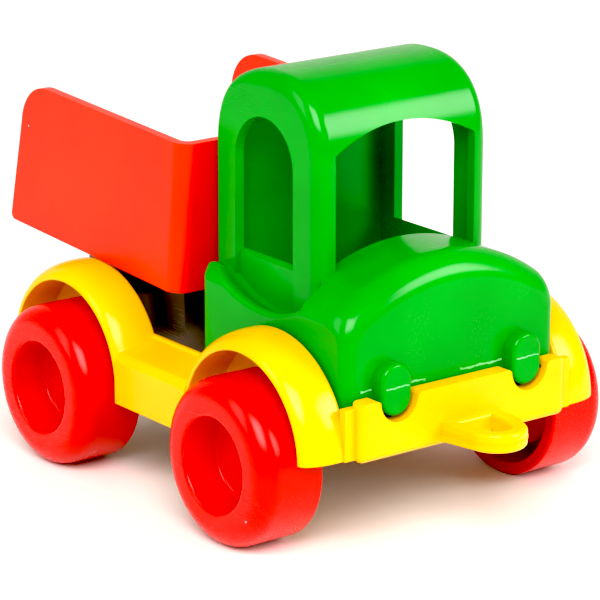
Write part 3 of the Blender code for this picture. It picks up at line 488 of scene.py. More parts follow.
def moulded_plastic(name, face, deep, roughness, scuff=1.0, glow=0.0, dust="ffffff"):
    """Glossy injection-moulded polypropylene: clean colour, a faint ripple from the mould, fine
    scuffs that dull the gloss and a few specks of dust caught on it."""
    material = bpy.data.materials.new(name)
    material.use_nodes = True
    tree = material.node_tree
    shader = tree.nodes["Principled BSDF"]
    place = node(tree, "ShaderNodeTexCoord").outputs["Object"]

    # Pigment that flowed unevenly: patches about 20 mm across.
    flow = node(tree, "ShaderNodeTexNoise", Vector=place, Scale=50.0, Detail=3.0, Roughness=0.5)
    tone = node(
        tree,
        "ShaderNodeMapRange",
        {"clamp": True},
        i0=flow.outputs["Fac"],
        i1=0.38,
        i2=0.62,
        i3=0.0,
        i4=1.0,
    )
    colour = node(tree, "ShaderNodeMix", {"data_type": "RGBA"}, i0=tone.outputs[0])
    colour.inputs[6].default_value = linear(deep)
    colour.inputs[7].default_value = linear(face)

    # Specks of dust, 0.15 mm, about one in 40 square millimetres.
    cells = node(tree, "ShaderNodeTexVoronoi", {"feature": "F1"}, Vector=place, Scale=230.0)
    near = node(
        tree, "ShaderNodeMath", {"operation": "LESS_THAN"}, i0=cells.outputs["Distance"], i1=0.035
    )
    parts = node(tree, "ShaderNodeSeparateColor", i0=cells.outputs["Color"])
    few = node(tree, "ShaderNodeMath", {"operation": "LESS_THAN"}, i0=parts.outputs[0], i1=0.18 * scuff)
    specks = node(
        tree, "ShaderNodeMath", {"operation": "MULTIPLY"}, i0=near.outputs[0], i1=few.outputs[0]
    )
    dusty = node(tree, "ShaderNodeMix", {"data_type": "RGBA"}, i0=specks.outputs[0])
    dusty.inputs[7].default_value = linear(dust)
    tree.links.new(colour.outputs[2], dusty.inputs[6])
    tree.links.new(dusty.outputs[2], shader.inputs["Base Color"])

    # Hairline scuffs, 0.1 mm wide and a few millimetres long, in two directions.
    marks = []
    for turn, scale in ((0.4, 1.0), (-0.9, 1.3)):
        lay = node(tree, "ShaderNodeMapping", Vector=place)
        lay.inputs["Rotation"].default_value = (turn, turn * 0.7, turn * 1.9)
        lay.inputs["Scale"].default_value = (180.0 * scale, 4200.0 * scale, 2600.0 * scale)
        grain = node(tree, "ShaderNodeTexNoise", Vector=lay.outputs[0], Scale=1.0, Detail=2.0)
        marks.append(grain.outputs["Fac"])
    both = node(tree, "ShaderNodeMath", {"operation": "MAXIMUM"}, i0=marks[0], i1=marks[1])
    worn = node(tree, "ShaderNodeTexNoise", Vector=place, Scale=90.0, Detail=2.0)
    patch = node(
        tree,
        "ShaderNodeMapRange",
        {"clamp": True},
        i0=worn.outputs["Fac"],
        i1=0.5,
        i2=0.72,
        i3=0.0,
        i4=1.0,
    )
    fine = node(
        tree,
        "ShaderNodeMapRange",
        {"clamp": True},
        i0=both.outputs[0],
        i1=0.58,
        i2=0.78,
        i3=0.0,
        i4=1.0,
    )
    scuffed = node(
        tree, "ShaderNodeMath", {"operation": "MULTIPLY"}, i0=patch.outputs[0], i1=fine.outputs[0]
    )
    gloss = node(
        tree,
        "ShaderNodeMapRange",
        {"clamp": True},
        i0=scuffed.outputs[0],
        i1=0.0,
        i2=1.0,
        i3=roughness,
        i4=min(1.0, roughness + 0.3 * scuff),
    )
    tree.links.new(gloss.outputs[0], shader.inputs["Roughness"])

    # The mould's ripple: 4 mm waves a few microns high.
    ripple = node(tree, "ShaderNodeTexNoise", Vector=place, Scale=260.0, Detail=1.0)
    bump = node(
        tree, "ShaderNodeBump", Strength=0.12, Distance=0.00012, Height=ripple.outputs["Fac"]
    )
    dents = node(
        tree, "ShaderNodeBump", Strength=0.25 * scuff, Distance=0.00002, Height=scuffed.outputs[0]
    )
    tree.links.new(bump.outputs[0], dents.inputs["Normal"])
    tree.links.new(dents.outputs[0], shader.inputs["Normal"])
    shader.inputs["IOR"].default_value = 1.49
    shader.inputs["Specular IOR Level"].default_value = 0.33
    if glow:
        shader.inputs["Subsurface Weight"].default_value = glow
        shader.inputs["Subsurface Radius"].default_value = (0.004, 0.0015, 0.0008)
        shader.inputs["Subsurface Scale"].default_value = 1.0
    return material


def plated_steel(name):
    """Drawn and zinc-plated steel rod: bright, with fine lengthways drawing lines."""
    material = bpy.data.materials.new(name)
    material.use_nodes = True
    tree = material.node_tree
    shader = tree.nodes["Principled BSDF"]
    place = node(tree, "ShaderNodeTexCoord").outputs["Object"]
    lay = node(tree, "ShaderNodeMapping", Vector=place)
    lay.inputs["Scale"].default_value = (5000.0, 120.0, 5000.0)
    lines = node(tree, "ShaderNodeTexNoise", Vector=lay.outputs[0], Scale=1.0, Detail=2.0)
    gloss = node(
        tree,
        "ShaderNodeMapRange",
        {"clamp": True},
        i0=lines.outputs["Fac"],
        i1=0.3,
        i2=0.7,
        i3=0.22,
        i4=0.42,
    )
    tree.links.new(gloss.outputs[0], shader.inputs["Roughness"])
    shader.inputs["Base Color"].default_value = linear("c6c8c6")
    shader.inputs["Metallic"].default_value = 1.0
    return material


POLYPROPYLENE = "moulded_polypropylene"
YELLOW = moulded_plastic(f"yellow_{POLYPROPYLENE}", "fbbe02", "f8b601", 0.24, scuff=0.6)
GREEN = moulded_plastic(f"green_{POLYPROPYLENE}", "009a0e", "009009", 0.2, scuff=0.9)
RED = moulded_plastic(f"red_{POLYPROPYLENE}", "d80a05", "ce0402", 0.26, scuff=1.6, glow=0.06)
ORANGE = moulded_plastic(f"orange_red_{POLYPROPYLENE}", "ee2a02", "e82402", 0.3, 0.5, glow=0.06)
# Near-black plastic given a lightened brown-grey colour: painted light, so that the deck, shaded under
# the bed, comes out as light and as warm as its glossy, reflecting surface looks. In open light the
# chassis and keepers therefore read mid-grey rather than near-black.
BLACK_WITH_PAINTED_LIGHT = moulded_plastic(f"black_{POLYPROPYLENE}", "77675c", "6b5b50", 0.22, 1.2, dust="8a8480")
# Flash bruised white where the mould's halves met.
FLASH = moulded_plastic("stress_whitened_green_polypropylene", "a8dcae", "5fc070", 0.5)
STEEL = plated_steel("zinc_plated_steel")


# Wheels


def wheel_mesh(axle_x, side):
    """One wheel: dished hub, rounded shoulder and a hollow back round the axle's boss."""
    back = WHEEL_WIDTH
    corners = [
        (0.0, HUB_DEPTH - 0.25, 0),
        (4.5, HUB_DEPTH - 0.05, 3.0),
        (7.75, HUB_DEPTH, 0.9),
        (8.55, 0.0, 0.75),
        (WHEEL_RADIUS, 0.0, 3.7),
        (WHEEL_RADIUS, back, 0.6),
        (12.75, back, 0.35),
        (12.5, 3.8, 1.0),
        (10.6, 3.8, 0.8),
        (9.9, HUB_WEB + 0.5, 0.8),
        (4.7, HUB_WEB + 0.5, 0.6),
        (4.4, back, 0.35),
        (1.6, back, 0.2),
        (1.6, HUB_WEB, 0),
        (0.0, HUB_WEB, 0),
    ]
    profile = rounded_line(corners)
    return spun([(r, side * (WHEEL_OUTER - d)) for r, d in profile], (axle_x, WHEEL_RADIUS), 128)


def rounded_line(corners):
    """As rounded(), for a line whose two ends stay where they are."""
    ends = [(*corners[0][:2], 0), *corners[1:-1], (*corners[-1][:2], 0)]
    return rounded(ends)


def make_wheels():
    for end, axle_x in AXLE_X.items():
        for name, side in SIDES.items():
            piece(
                f"{end}_{name}_wheel_moulding",
                wheel_mesh(axle_x, side),
                RED,
                f"{end}_wheelset",
                [f"{end}_{name}_wheel"],
            )


# Frame


def fender_section():
    """(radius, |y|) outline of a solid drum with the fender's soft outer shape."""
    out, up = FENDER_ROUND
    soft = [
        (CROWN_RADIUS - up * (1 - sin(radians(a))), RIM - out * (1 - cos(radians(a))))
        for a in range(0, 91, 9)
    ]
    inner = [
        (CROWN_RADIUS - 0.9 * (1 - cos(radians(a))), INNER + 0.9 * (1 - sin(radians(a))))
        for a in range(0, 91, 18)
    ]
    return [(0.0, RIM), *soft, *inner, (0.0, INNER)]


def fender_solid(axle_x, side):
    drum = spun([(r, side * y) for r, y in fender_section()], (axle_x, ARCH_Z), 120)
    top = arc((axle_x, ARCH_Z), ARCH_RADIUS, 0, 180, 60)
    well = [(axle_x + ARCH_RADIUS, -10), *top, (axle_x - ARCH_RADIUS, -10)]
    low, high = sorted((side * SKIRT, side * 60))
    solid = combined(
        drum,
        ("cut", extruded(well, "Y", low, high)),
        ("cut", block((axle_x - 30, -60, -20), (axle_x + 30, 60, LEG_BOTTOM))),
    )
    return eased(
        solid,
        0.45,
        lambda a, b: min(abs(a.y), abs(b.y)) > RIM - 0.1 or max(a.z, b.z) < LEG_BOTTOM + 0.05,
        segments=2,
    )


def rail_outline(side):
    """(y, z) outline of a side rail: upright outside, a soft shoulder and a top that rises inwards."""
    corners = [
        (RIM, RAIL_BOTTOM, 0.4),
        (RIM, 24.4, 2.0),
        (25.3, 26.3, 0.5),
        (25.0, 26.8, 0.2),
        (INNER, 26.8, 0.25),
        (INNER, RAIL_BOTTOM, 0.2),
    ]
    points = rounded(corners, 5)
    return [(side * y, z) for y, z in points]


def bumper_outline():
    """(y, z) outline of the bumper with its two notches, as seen from the front."""
    radius = LAMP_RADIUS + LAMP_GAP
    low_z = LAMP_Z - LAMP_STRAIGHT / 2
    lip = 0.9
    reach = radius + lip
    points = [
        (-BUMPER_HALF, BUMPER_BOTTOM),
        (BUMPER_HALF, BUMPER_BOTTOM),
        (BUMPER_HALF, BUMPER_TOP),
    ]
    for centre in (LAMP_Y, -LAMP_Y):
        points += arc((centre + reach, BUMPER_TOP - lip), lip, 90, 180, 5)
        points += arc((centre, low_z), radius, 0, -180, 20)
        points += arc((centre - reach, BUMPER_TOP - lip), lip, 0, 90, 5)
    points.append((-BUMPER_HALF, BUMPER_TOP))
    return points


def bumper_solid():
    solid = extruded(bumper_outline(), "X", BUMPER_BACK, BUMPER_FRONT)
    ends = eased(
        solid,
        1.3,
        lambda a, b: min(a.x, b.x) > BUMPER_BACK and min(abs(a.y), abs(b.y)) > BUMPER_HALF - 0.01,
        segments=5,
    )
    return eased(ends, 0.7, lambda a, b: min(a.x, b.x) > BUMPER_FRONT - 0.4, segments=4)


def tow_outline(inset, root):
    """(x, y) outline of the tow loop, drawn in by an inset."""
    tip = TOW_ROUND - inset
    centre = (TOW_TIP - TOW_ROUND, TOW_Y)
    half = TOW_HALF - inset
    return [(root, TOW_Y - half), *arc(centre, tip, -82, 82, 28), (root, TOW_Y + half)]


def tow_solid():
    """Tow loop with soft edges and the thin line of its parting plane."""
    body = extruded(tow_outline(0.0, BUMPER_FRONT - 2.0), "Z", TOW_LOW, TOW_HIGH)
    ring = eased(
        combined(body, ("cut", tow_hole())),
        1.15,
        lambda a, b: abs(a.z - b.z) < 0.01 and min(a.x, b.x) > BUMPER_FRONT - 1.9,
        segments=4,
    )
    middle = (TOW_LOW + TOW_HIGH) / 2
    proud = 0.12
    line = extruded(tow_outline(-proud, BUMPER_FRONT - 1.0), "Z", middle - proud, middle + proud)
    core = extruded(tow_outline(2.0, BUMPER_FRONT + 0.2), "Z", 10, 30)
    return combined(ring, ("join", combined(line, ("cut", core))))


def tow_hole():
    return extruded(tow_outline(TOW_BAND, BUMPER_FRONT + 1.6), "Z", TOW_LOW - 3, TOW_HIGH + 3)


def frame_mesh():
    """Fenders, rails, bumper, tow loop and the ledge that ties them together, as one moulding."""
    rear_x = FRAME_LOW.x
    rail_rear = AXLE_X["rear"] + ARCH_RADIUS + 0.1
    rail_front = AXLE_X["front"] - ARCH_RADIUS - 0.1
    steps = [("join", fender_solid(x, side)) for x in AXLE_X.values() for side in SIDES.values()]
    for side in SIDES.values():
        steps.append(("join", extruded(rail_outline(side), "X", rail_rear, rail_front)))
    core = (BUMPER_BACK, BUMPER_BACK + BUMPER_CORE)
    steps += [
        ("join", block((rear_x, -SKIRT, LEG_BOTTOM), (rear_x + 2.5, SKIRT, 22.7))),
        ("join", block((core[0], -SKIRT, LEG_BOTTOM), (core[1], SKIRT, BUMPER_TOP - 0.9))),
        ("join", bumper_solid()),
    ]
    for side in SIDES.values():
        low, high = sorted((side * SKIRT, side * (RIM - 2)))
        hollow = block((rail_rear + 2, low, 0), (rail_front - 2, high, 22.6))
        steps.append(("cut", hollow))
    bay = block((rear_x + 4.5, -BAY_HALF, 0), (AXLE_X["front"] + 9.2, BAY_HALF, 24))
    steps.append(("cut", bay))
    radius = LAMP_RADIUS + LAMP_GAP
    low_z = LAMP_Z - LAMP_STRAIGHT / 2
    for side in SIDES.values():
        y = side * LAMP_Y
        notch = [(y - radius, 32), *arc((y, low_z), radius, 180, 360, 20), (y + radius, 32)]
        steps.append(("cut", extruded(notch, "X", BUMPER_BACK - 1, BUMPER_FRONT + 3)))
    for name in ("cab_rear", "cab_front", "frame"):
        for side in SIDES:
            x, y = screw_place(name, side)
            steps.append(("cut", rod((x, y, LEDGE_BOTTOM - 2), (x, y, LEDGE_TOP + 2), SCREW_BORE)))
    ledge = block((rear_x + 0.3, 0.3 - SKIRT, LEDGE_BOTTOM), (core[1], SKIRT - 0.3, LEDGE_TOP))
    solid = combined(ledge, *steps)
    crown = rail_rear + 6.5
    solid = eased(
        solid,
        1.1,
        lambda a, b: min(abs(a.y), abs(b.y)) > INNER + 1.2
        and min(a.z, b.z) > 24.2
        and max(a.z, b.z) < 28.5
        and (rail_rear - 3 < a.x < crown or rail_front - 6.5 < a.x < rail_front + 3),
        segments=4,
        limit=12,
    )
    return combined(solid, ("join", tow_solid()), ("cut", tow_hole()))


# Cab


def hood_solid(inset):
    """Hood and door panels, drawn in by an inset: flat sides under an arched top, softly edged."""
    rear = DOOR_REAR + inset
    nose = NOSE - inset
    fillet = HOOD_FILLET - inset
    door = max(DOOR_CORNER - inset, 0.05)
    crease = max(HOOD_CREASE - inset, 0.05)
    xs = [rear + door * (1 - cos(pi / 2 * i / 8)) for i in range(8)]
    xs += [rear + door + (nose - fillet - rear - door) * i / 40 for i in range(40)]
    xs += [nose - fillet * (1 - sin(pi / 2 * i / 20)) for i in range(21)]
    rows = []
    for x in xs:
        half = side_half(x, inset)
        edge = crease + max(1.5 - inset, 0) * smoothstep(nose - fillet - 2, nose, x)
        ys = [(half - edge) * i / 28 for i in range(28)]
        ys += [half - edge * (1 - sin(pi / 2 * i / 9)) for i in range(10)]
        row = []
        for y in [-y for y in reversed(ys[1:])] + ys:
            drop = quarter(x - nose + fillet, fillet) + quarter(abs(y) - half + edge, edge)
            row.append((x, y, arch_height(y, inset) - drop))
        rows.append(row)
    return grid_solid(rows, 17.8 - inset)


def scoop_solid(drop):
    """All that lies over the door panels' edge outside the cab's walls, lowered by a drop."""
    end = SCOOP_END + drop
    middle = CAB_HALF - 1 - drop / 2
    xs = [-6.0] + [DOOR_REAR + 1.5 * (1 - cos(pi / 2 * i / 8)) for i in range(9)]
    xs += [DOOR_REAR + 1.5 + (end - DOOR_REAR - 1.5) * i / 80 for i in range(1, 81)]
    rows = []
    for x in xs:
        half = side_half(x)
        start = CAB_HALF + 0.2
        ys = [0.0, middle, middle + 0.1]
        ys += [start + (half - LIP_ROUND - start) * i / 14 for i in range(14)]
        ys += [half - LIP_ROUND * (1 - sin(pi / 2 * i / 8)) for i in range(9)] + [60.0]
        full = [-y for y in reversed(ys[1:])] + ys
        rows.append([(x, y, gutter_height(x, y) - drop if abs(y) > middle else CLEAR) for y in full])
    return grid_solid(rows, CLEAR + 1)


def cab_prism_y(inset, low, half_y, steps=88):
    half = (CAB_FRONT - CAB_REAR) / 2 - inset
    middle = (CAB_FRONT + CAB_REAR) / 2
    top = [
        (middle + u, v)
        for u, v in vault(half, ROOF_TOP - ROOF_RISE, ROOF_RISE - inset, ROOF_POWER, steps)
    ]
    return extruded([(middle + half, low), *top, (middle - half, low)], "Y", -half_y, half_y)


def cab_solid():
    """Upper cab: tight edges at its rear, which open to broad soft ones over the roof's front."""
    half = (CAB_FRONT - CAB_REAR) / 2
    middle = (CAB_FRONT + CAB_REAR) / 2
    spring = ROOF_TOP - ROOF_RISE
    top = [(middle + u, v) for u, v in vault(half, spring, ROOF_RISE, ROOF_POWER, 120)]
    up = [(CAB_FRONT, 14 + (spring - 14) * i / 12) for i in range(12)]
    down = [(CAB_REAR, spring - (spring - 14) * i / 12) for i in range(1, 13)]
    outline = up + top + down
    span = CAB_FRONT_ROUND - CAB_REAR_ROUND
    radii = [CAB_REAR_ROUND + span * smoothstep(CAB_REAR + 1, CAB_REAR + 13, x) for x, _ in outline]
    return cushion(outline, radii, CAB_HALF)


def cab_mesh():
    """Cab, hood, door panels and headlamps as one shell, open below."""
    upper = combined(
        cab_solid(),
        ("cut", extruded(side_window_outline(), "Y", -60, 60)),
        ("cut", extruded(windscreen_outline(), "X", CAB_FRONT - 7, CAB_FRONT + 0.4)),
        ("cut", cab_prism_y(CAB_WALL, 10.0, CAB_HALF - CAB_WALL)),
    )
    upper = eased(
        upper,
        0.4,
        lambda a, b: any(all(map(on, (a, b))) for on in (on_side_window, on_windscreen)),
        segments=3,
        limit=40,
    )
    lower = combined(
        combined(hood_solid(0.0), ("cut", scoop_solid(0.0))),
        ("cut", combined(hood_solid(CAB_WALL), ("cut", scoop_solid(CAB_WALL)))),
        ("cut", cab_prism_y(CAB_WALL, 10.0, CAB_HALF - CAB_WALL)),
    )
    shell = combined(lower, ("join", upper), ("cut", block((-30, -60, 0), (80, 60, CAB_BOTTOM))))
    steps = [("join", lamp_solid(side)) for side in SIDES.values()]
    for name in ("cab_rear", "cab_front"):
        for side in SIDES:
            x, y = screw_place(name, side)
            top = CAB_BOTTOM + CAB_BOSS_HEIGHT
            steps.append(("join", rod((x, y, CAB_BOTTOM), (x, y, top), SCREW_BOSS)))
            steps.append(("cut", rod((x, y, 20), (x, y, top - 2), SCREW_BORE)))
    return combined(shell, *steps)


def on_side_window(point):
    if abs(point.y) < CAB_HALF - 0.3 or abs(point.x - WINDOW_X) > WINDOW_HALF + 0.05:
        return False
    return point.z > scoop_height(point.x) - 2.9


def on_windscreen(point):
    if point.x < CAB_FRONT - 4 or abs(point.y) > SCREEN_HALF + 0.05 or point.z > SCREEN_SIDE_TOP + 5:
        return False
    return point.z > arch_height(point.y) - 2.9


def side_window_outline():
    top = arc((WINDOW_X, WINDOW_TOP - WINDOW_HALF), WINDOW_HALF, 0, 180, 40)
    xs = [WINDOW_X - WINDOW_HALF + 2 * WINDOW_HALF * i / 24 for i in range(25)]
    return [*top, *((x, scoop_height(x) - 3) for x in xs)]


def windscreen_outline():
    radius = (SCREEN_HALF**2 + SCREEN_RISE**2) / (2 * SCREEN_RISE)
    centre = SCREEN_SIDE_TOP + SCREEN_RISE - radius
    ys = [SCREEN_HALF * (1 - i / 16) for i in range(33)]
    top = [(y, centre + sqrt(radius**2 - y**2)) for y in ys]
    return top + [(y, arch_height(y) - 3) for y in reversed(ys)]


def lamp_solid(side):
    """Upright headlamp with a soft front edge."""
    y = side * LAMP_Y
    high = arc((y, LAMP_Z + LAMP_STRAIGHT / 2), LAMP_RADIUS, 0, 180, 24)
    low = arc((y, LAMP_Z - LAMP_STRAIGHT / 2), LAMP_RADIUS, 180, 360, 24)
    solid = extruded(high + low, "X", NOSE - 0.8, LAMP_FRONT)
    return eased(solid, 0.7, lambda a, b: min(a.x, b.x) > LAMP_FRONT - 0.01, 5)


def flash_height(y):
    """How far the parting line wanders up and down along Y."""
    return 0.07 * sin(1.3 * y) + 0.04 * sin(4.3 * y + 1)


def flash_mesh():
    """Ragged parting-line flash, a hair proud of the nose and of both headlamps' faces."""
    lamp = LAMP_RADIUS - 0.75
    runs = [(LAMP_FRONT, y - lamp, y + lamp, LAMP_Z + 0.5) for y in (LAMP_Y, -LAMP_Y)]
    runs.append((NOSE, -LAMP_Y + LAMP_RADIUS + 1.5, -6.3, 28.9))
    runs.append((NOSE, 1.5, LAMP_Y - LAMP_RADIUS - 0.4, 29.1))
    runs.append((NOSE, -HOOD_HALF + 3.2, -LAMP_Y - LAMP_RADIUS - 0.3, 29.2))
    shape = bmesh.new()
    for x, start, end, z in runs:
        rows = []
        count = max(8, int((end - start) / 0.25))
        spread = 0.1 if x == NOSE else 0.0
        for i in range(count + 1):
            y = start + (end - start) * i / count
            middle = z + flash_height(y)
            half = 0.07 + 0.05 * abs(sin(3.7 * y + z)) + spread * abs(sin(1.3 * y))
            back = x - 0.15
            front = x + 0.05 + 0.05 * abs(sin(6.1 * y))
            low = middle - half
            high = middle + half
            corners = [(back, low), (front, low), (front, high), (back, high)]
            rows.append([shape.verts.new((u, y, v)) for u, v in corners])
        for row, following in zip(rows, rows[1:]):
            for k in range(4):
                shape.faces.new((row[k - 1], row[k], following[k], following[k - 1]))
        shape.faces.new(rows[0])
        shape.faces.new(rows[-1])
    return closed(shape)


# Bed


def bed_mesh():
    """Tray, open at the rear, made level round the hinge and then set to its resting pitch."""
    low = BED_FLOOR
    top = BED_FLOOR + BED_HEIGHT
    rear_top = -BED_REAR + BED_REAR_LEAN
    corner = arc((rear_top + BED_TOP_ROUND, top - BED_TOP_ROUND), BED_TOP_ROUND, 90, 176, 18)
    heel = arc((-BED_REAR + 1.2, low + 1.2), 1.2, 184, 270, 5)
    outline = [(BED_FRONT, low), (BED_FRONT + BED_FRONT_LEAN, top), *corner, *heel]
    outer = extruded(outline, "Y", -BED_HALF, BED_HALF)
    outer = eased(
        outer,
        3.0,
        lambda a, b: min(a.x, b.x) > BED_FRONT - 0.1 and a.y * b.y > 0 and abs(a.z - b.z) > 5,
        segments=8,
    )
    outer = eased(outer, 0.9, lambda a, b: max(a.z, b.z) < low + 0.05, segments=4, limit=20)
    spill = -BED_REAR - 20
    wall = BED_WALL
    inner_outline = [
        (spill, low + wall),
        (BED_FRONT - wall, low + wall),
        (BED_FRONT + BED_FRONT_LEAN - wall, top),
        (BED_FRONT + BED_FRONT_LEAN - wall, top + 20),
        (spill, top + 20),
    ]
    inner = extruded(inner_outline, "Y", wall - BED_HALF, BED_HALF - wall)
    inner = eased(
        inner,
        1.6,
        lambda a, b: min(a.x, b.x) > BED_FRONT - wall - 0.1 and a.y * b.y > 0 and abs(a.z - b.z) > 5,
        segments=5,
    )
    inner = eased(
        inner,
        0.8,
        lambda a, b: max(a.z, b.z) < low + wall + 0.05 and max(a.x, b.x) > spill + 1,
        segments=3,
        limit=20,
    )
    tray = combined(outer, ("cut", inner))
    tray = eased(
        tray,
        0.5,
        lambda a, b: min(a.z, b.z) > top - 0.1
        or max(a.x, b.x) < rear_top + BED_TOP_ROUND + 0.5,
        segments=3,
        limit=50,
    )
    lugs = []
    for side in SIDES.values():
        first, last = sorted((side * LUG_INNER, side * LUG_OUTER))
        base = arc((0, 0), PIN_LUG, 180, 360, 24)
        lug = extruded([(-PIN_LUG, low + 0.9), *base, (PIN_LUG, low + 0.9)], "Y", first, last)
        lugs.append(("join", lug))
    tray = combined(tray, *lugs, ("cut", rod((0, -40, 0), (0, 40, 0), PIN_BORE)))
    tray.transform(Matrix.Translation((HINGE_X, 0, HINGE_Z)) @ Matrix.Rotation(PITCH, 4, "Y"))
    return tray


# Chassis


def floor_height(x, drop):
    """Height under the resting bed's floor at an x, lowered by a drop."""
    return HINGE_Z - (x - HINGE_X) * tan(PITCH) + (BED_FLOOR - drop) / cos(PITCH)


def chassis_mesh():
    """Deck, the block under the bed, bearing ribs, screw bosses and the hinge's ears and stop."""
    rear = FRAME_LOW.x + 0.4
    front = NOSE - 1.2
    rest_rear = HINGE_X + 3.2
    foot = 2.3
    deck = block((rear, -HOOD_HALF, DECK_BOTTOM), (front, HOOD_HALF, DECK_TOP))
    rest = extruded(
        [
            (REST_FRONT + foot, ROOT),
            (REST_FRONT + foot, DECK_TOP),
            *arc((REST_FRONT + foot, DECK_TOP + foot), foot, 270, 180, 8),
            (REST_FRONT, floor_height(REST_FRONT, 0.3) - 1.0),
            (REST_FRONT - 1.0, floor_height(REST_FRONT, 0.3)),
            (rest_rear, floor_height(rest_rear, 0.3)),
            (rest_rear, ROOT),
        ],
        "Y",
        -REST_HALF,
        REST_HALF,
    )
    hollow = extruded(
        [
            (REST_FRONT - REST_WALL, 0),
            (REST_FRONT - REST_WALL, floor_height(REST_FRONT - REST_WALL, 0.3 + REST_WALL)),
            (rest_rear + REST_WALL, floor_height(rest_rear + REST_WALL, 0.3 + REST_WALL)),
            (rest_rear + REST_WALL, 0),
        ],
        "Y",
        REST_WALL - REST_HALF,
        REST_HALF - REST_WALL,
    )
    steps = [("join", rest)]
    for side in SIDES:
        x, y = screw_place("frame", side)
        steps.append(("join", rod((x, y, ROOT), (x, y, BOSS_TOP), SCREW_BOSS)))
    steps.append(("cut", hollow))
    for side in SIDES.values():
        first, last = sorted((side * EAR_INNER, side * EAR_OUTER))
        ear = [
            (HINGE_X - PIN_LUG, ROOT),
            *arc((HINGE_X, HINGE_Z), PIN_LUG, 180, 60, 16),
            (HINGE_X + PIN_LUG + 2, HINGE_Z - PIN_LUG),
            (HINGE_X + PIN_LUG + 2, ROOT),
        ]
        steps.append(("join", extruded(ear, "Y", first, last)))
    slope = radians(47)
    stop_x = HINGE_X - (BED_FLOOR - 0.15 - 0.5 * cos(slope)) / sin(slope)
    steps.append(("join", block((stop_x, -8.2, ROOT), (stop_x + 2.0, 8.2, HINGE_Z + 0.5))))
    steps.append(("cut", rod((HINGE_X, -60, HINGE_Z), (HINGE_X, 60, HINGE_Z), PIN_BORE)))
    for end, axle_x in AXLE_X.items():
        top = DECK_TOP - 0.3 if end == "front" else floor_height(axle_x, 2.0)
        for side in SIDES.values():
            first, last = sorted((side * 10.0, side * 13.0))
            rib = block((axle_x - RIB_HALF, first, RIB_BOTTOM), (axle_x + RIB_HALF, last, top))
            steps.append(("join", rib))
        low = (axle_x - KEEPER_REACH, -KEEPER_HALF, RIB_BOTTOM)
        steps.append(("join", block(low, (axle_x + RIB_HALF, KEEPER_HALF, top))))
        round_top = arc((axle_x, WHEEL_RADIUS), AXLE_BORE, 0, 180, 20)
        slot = [(axle_x + AXLE_BORE, 0), *round_top, (axle_x - AXLE_BORE, 0)]
        steps.append(("cut", extruded(slot, "Y", -15, 15)))
        x = axle_x - KEEPER_SCREW_SETBACK
        for y in (-KEEPER_SCREW_Y, KEEPER_SCREW_Y):
            steps.append(("cut", rod((x, y, 0), (x, y, 21), SCREW_BORE)))
    for name in ("cab_rear", "cab_front", "frame"):
        for side in SIDES:
            x, y = screw_place(name, side)
            reach = BOSS_TOP - 2.0 if name == "frame" else DECK_TOP + 2.5
            steps.append(("cut", rod((x, y, 20), (x, y, reach), SCREW_BORE)))
    return combined(deck, *steps)


# Stage

VIEW_AZIMUTH = radians(52.746)
VIEW_ELEVATION = radians(16.466)
VIEW_TARGET = Vector((-1.0, 0.0, 31.575))
VIEW_DISTANCE = 600.66
VIEW_LENS = 196.6
LIGHT_AIM = Vector((0, 0, 35))
AIR_STRENGTH = 0.7


def studio():
    """Plain pale sweep under an even white air."""
    shape = bmesh.new()
    line = [(-2.2, 0.0), (1.6, 0.0)]
    line += [(1.6 + 0.5 * sin(radians(a)), 0.5 - 0.5 * cos(radians(a))) for a in range(10, 91, 10)]
    line.append((2.1, 2.2))
    verts = [shape.verts.new((-2.6, u, v)) for u, v in line]
    edges = [shape.edges.new(pair) for pair in zip(verts, verts[1:])]
    grown = bmesh.ops.extrude_edge_only(shape, edges=edges)["geom"]
    bmesh.ops.translate(
        shape, verts=[v for v in grown if isinstance(v, bmesh.types.BMVert)], vec=(5.2, 0, 0)
    )
    turn = Matrix.Rotation(VIEW_AZIMUTH, 4, "Z")
    bmesh.ops.transform(shape, matrix=turn, verts=shape.verts)
    bmesh.ops.recalc_face_normals(shape, faces=shape.faces)
    mesh = bpy.data.meshes.new("studio_sweep")
    shape.to_mesh(mesh)
    shape.free()
    mesh.shade_smooth()
    sweep = bpy.data.objects.new("studio_sweep", mesh)
    bpy.context.scene.collection.objects.link(sweep)
    paper = bpy.data.materials.new("white_sweep_paper")
    paper.use_nodes = True
    tree = paper.node_tree
    shader = tree.nodes["Principled BSDF"]
    place = node(tree, "ShaderNodeTexCoord").outputs["Object"]
    fibre = node(tree, "ShaderNodeTexNoise", Vector=place, Scale=900.0, Detail=2.0)
    tone = node(tree, "ShaderNodeMix", {"data_type": "RGBA"}, i0=fibre.outputs["Fac"])
    tone.inputs[6].default_value = linear("fbf6f0")
    tone.inputs[7].default_value = linear("fffaf5")
    tree.links.new(tone.outputs[2], shader.inputs["Base Color"])
    shader.inputs["Roughness"].default_value = 0.6
    mesh.materials.append(paper)

    world = bpy.data.worlds.new("studio_air")
    world.use_nodes = True
    air = world.node_tree.nodes["Background"]
    air.inputs["Color"].default_value = (1.0, 1.0, 1.0, 1.0)
    air.inputs["Strength"].default_value = AIR_STRENGTH
    bpy.context.scene.world = world


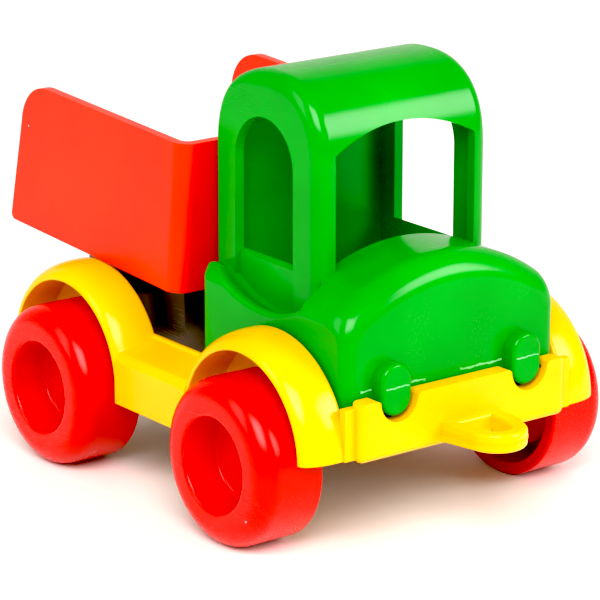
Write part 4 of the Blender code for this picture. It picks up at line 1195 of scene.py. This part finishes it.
def soft_light(name, azimuth, elevation, distance, size, power):
    """A softbox, its sizes in metres. Azimuth 0 is the truck's front, and 90 its left side."""
    data = bpy.data.lights.new(name, "AREA")
    data.shape = "RECTANGLE"
    data.size = size[0]
    data.size_y = size[1]
    data.energy = power
    away = Vector(
        (
            cos(radians(azimuth)) * cos(radians(elevation)),
            sin(radians(azimuth)) * cos(radians(elevation)),
            sin(radians(elevation)),
        )
    )
    light = bpy.data.objects.new(name, data)
    light.location = LIGHT_AIM * MM + away * distance
    light.rotation_euler = away.to_track_quat("Z", "Y").to_euler()
    bpy.context.scene.collection.objects.link(light)


def camera():
    back = Vector(
        (
            sin(VIEW_AZIMUTH) * cos(VIEW_ELEVATION),
            -cos(VIEW_AZIMUTH) * cos(VIEW_ELEVATION),
            sin(VIEW_ELEVATION),
        )
    )
    data = bpy.data.cameras.new("view")
    data.lens = VIEW_LENS
    data.sensor_width = 36.0
    data.clip_start = 0.01
    data.clip_end = 20.0
    view = bpy.data.objects.new("view", data)
    view.location = (VIEW_TARGET + back * VIEW_DISTANCE) * MM
    view.rotation_euler = back.to_track_quat("Z", "Y").to_euler()
    bpy.context.scene.collection.objects.link(view)
    bpy.context.scene.camera = view


make_wheels()
piece("nose_flash_line", flash_mesh(), FLASH, "truck_body", [])
body = "truck_body"
piece("fender_frame_moulding", frame_mesh(), YELLOW, body, ["fender_frame"])
piece("cab_moulding", cab_mesh(), GREEN, body, ["cab_shell"])
piece("bed_moulding", bed_mesh(), ORANGE, "bed", ["dump_bed"])
piece("chassis_moulding", chassis_mesh(), BLACK_WITH_PAINTED_LIGHT, body, ["chassis"])

finishes = {"screw": STEEL, "axle": STEEL, "pin": STEEL, "keeper": BLACK_WITH_PAINTED_LIGHT}
for name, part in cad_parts.items():
    finish = finishes.get(name.split("_")[-1])
    if finish:
        for slot in part.material_slots:
            slot.material = finish

studio()
soft_light("key_softbox", -40, 42, 1.1, (0.6, 0.6), 11.0)
soft_light("window_softbox", 38, 27, 1.1, (0.55, 0.45), 7.0)
soft_light("side_softbox", -105, 30, 1.2, (0.5, 0.8), 3.5)
camera()
levels = bpy.context.scene.view_settings
levels.view_transform = "Standard"
levels.use_curve_mapping = True
levels.curve_mapping.black_level = (0.06, 0.045, 0.05)
levels.curve_mapping.update()
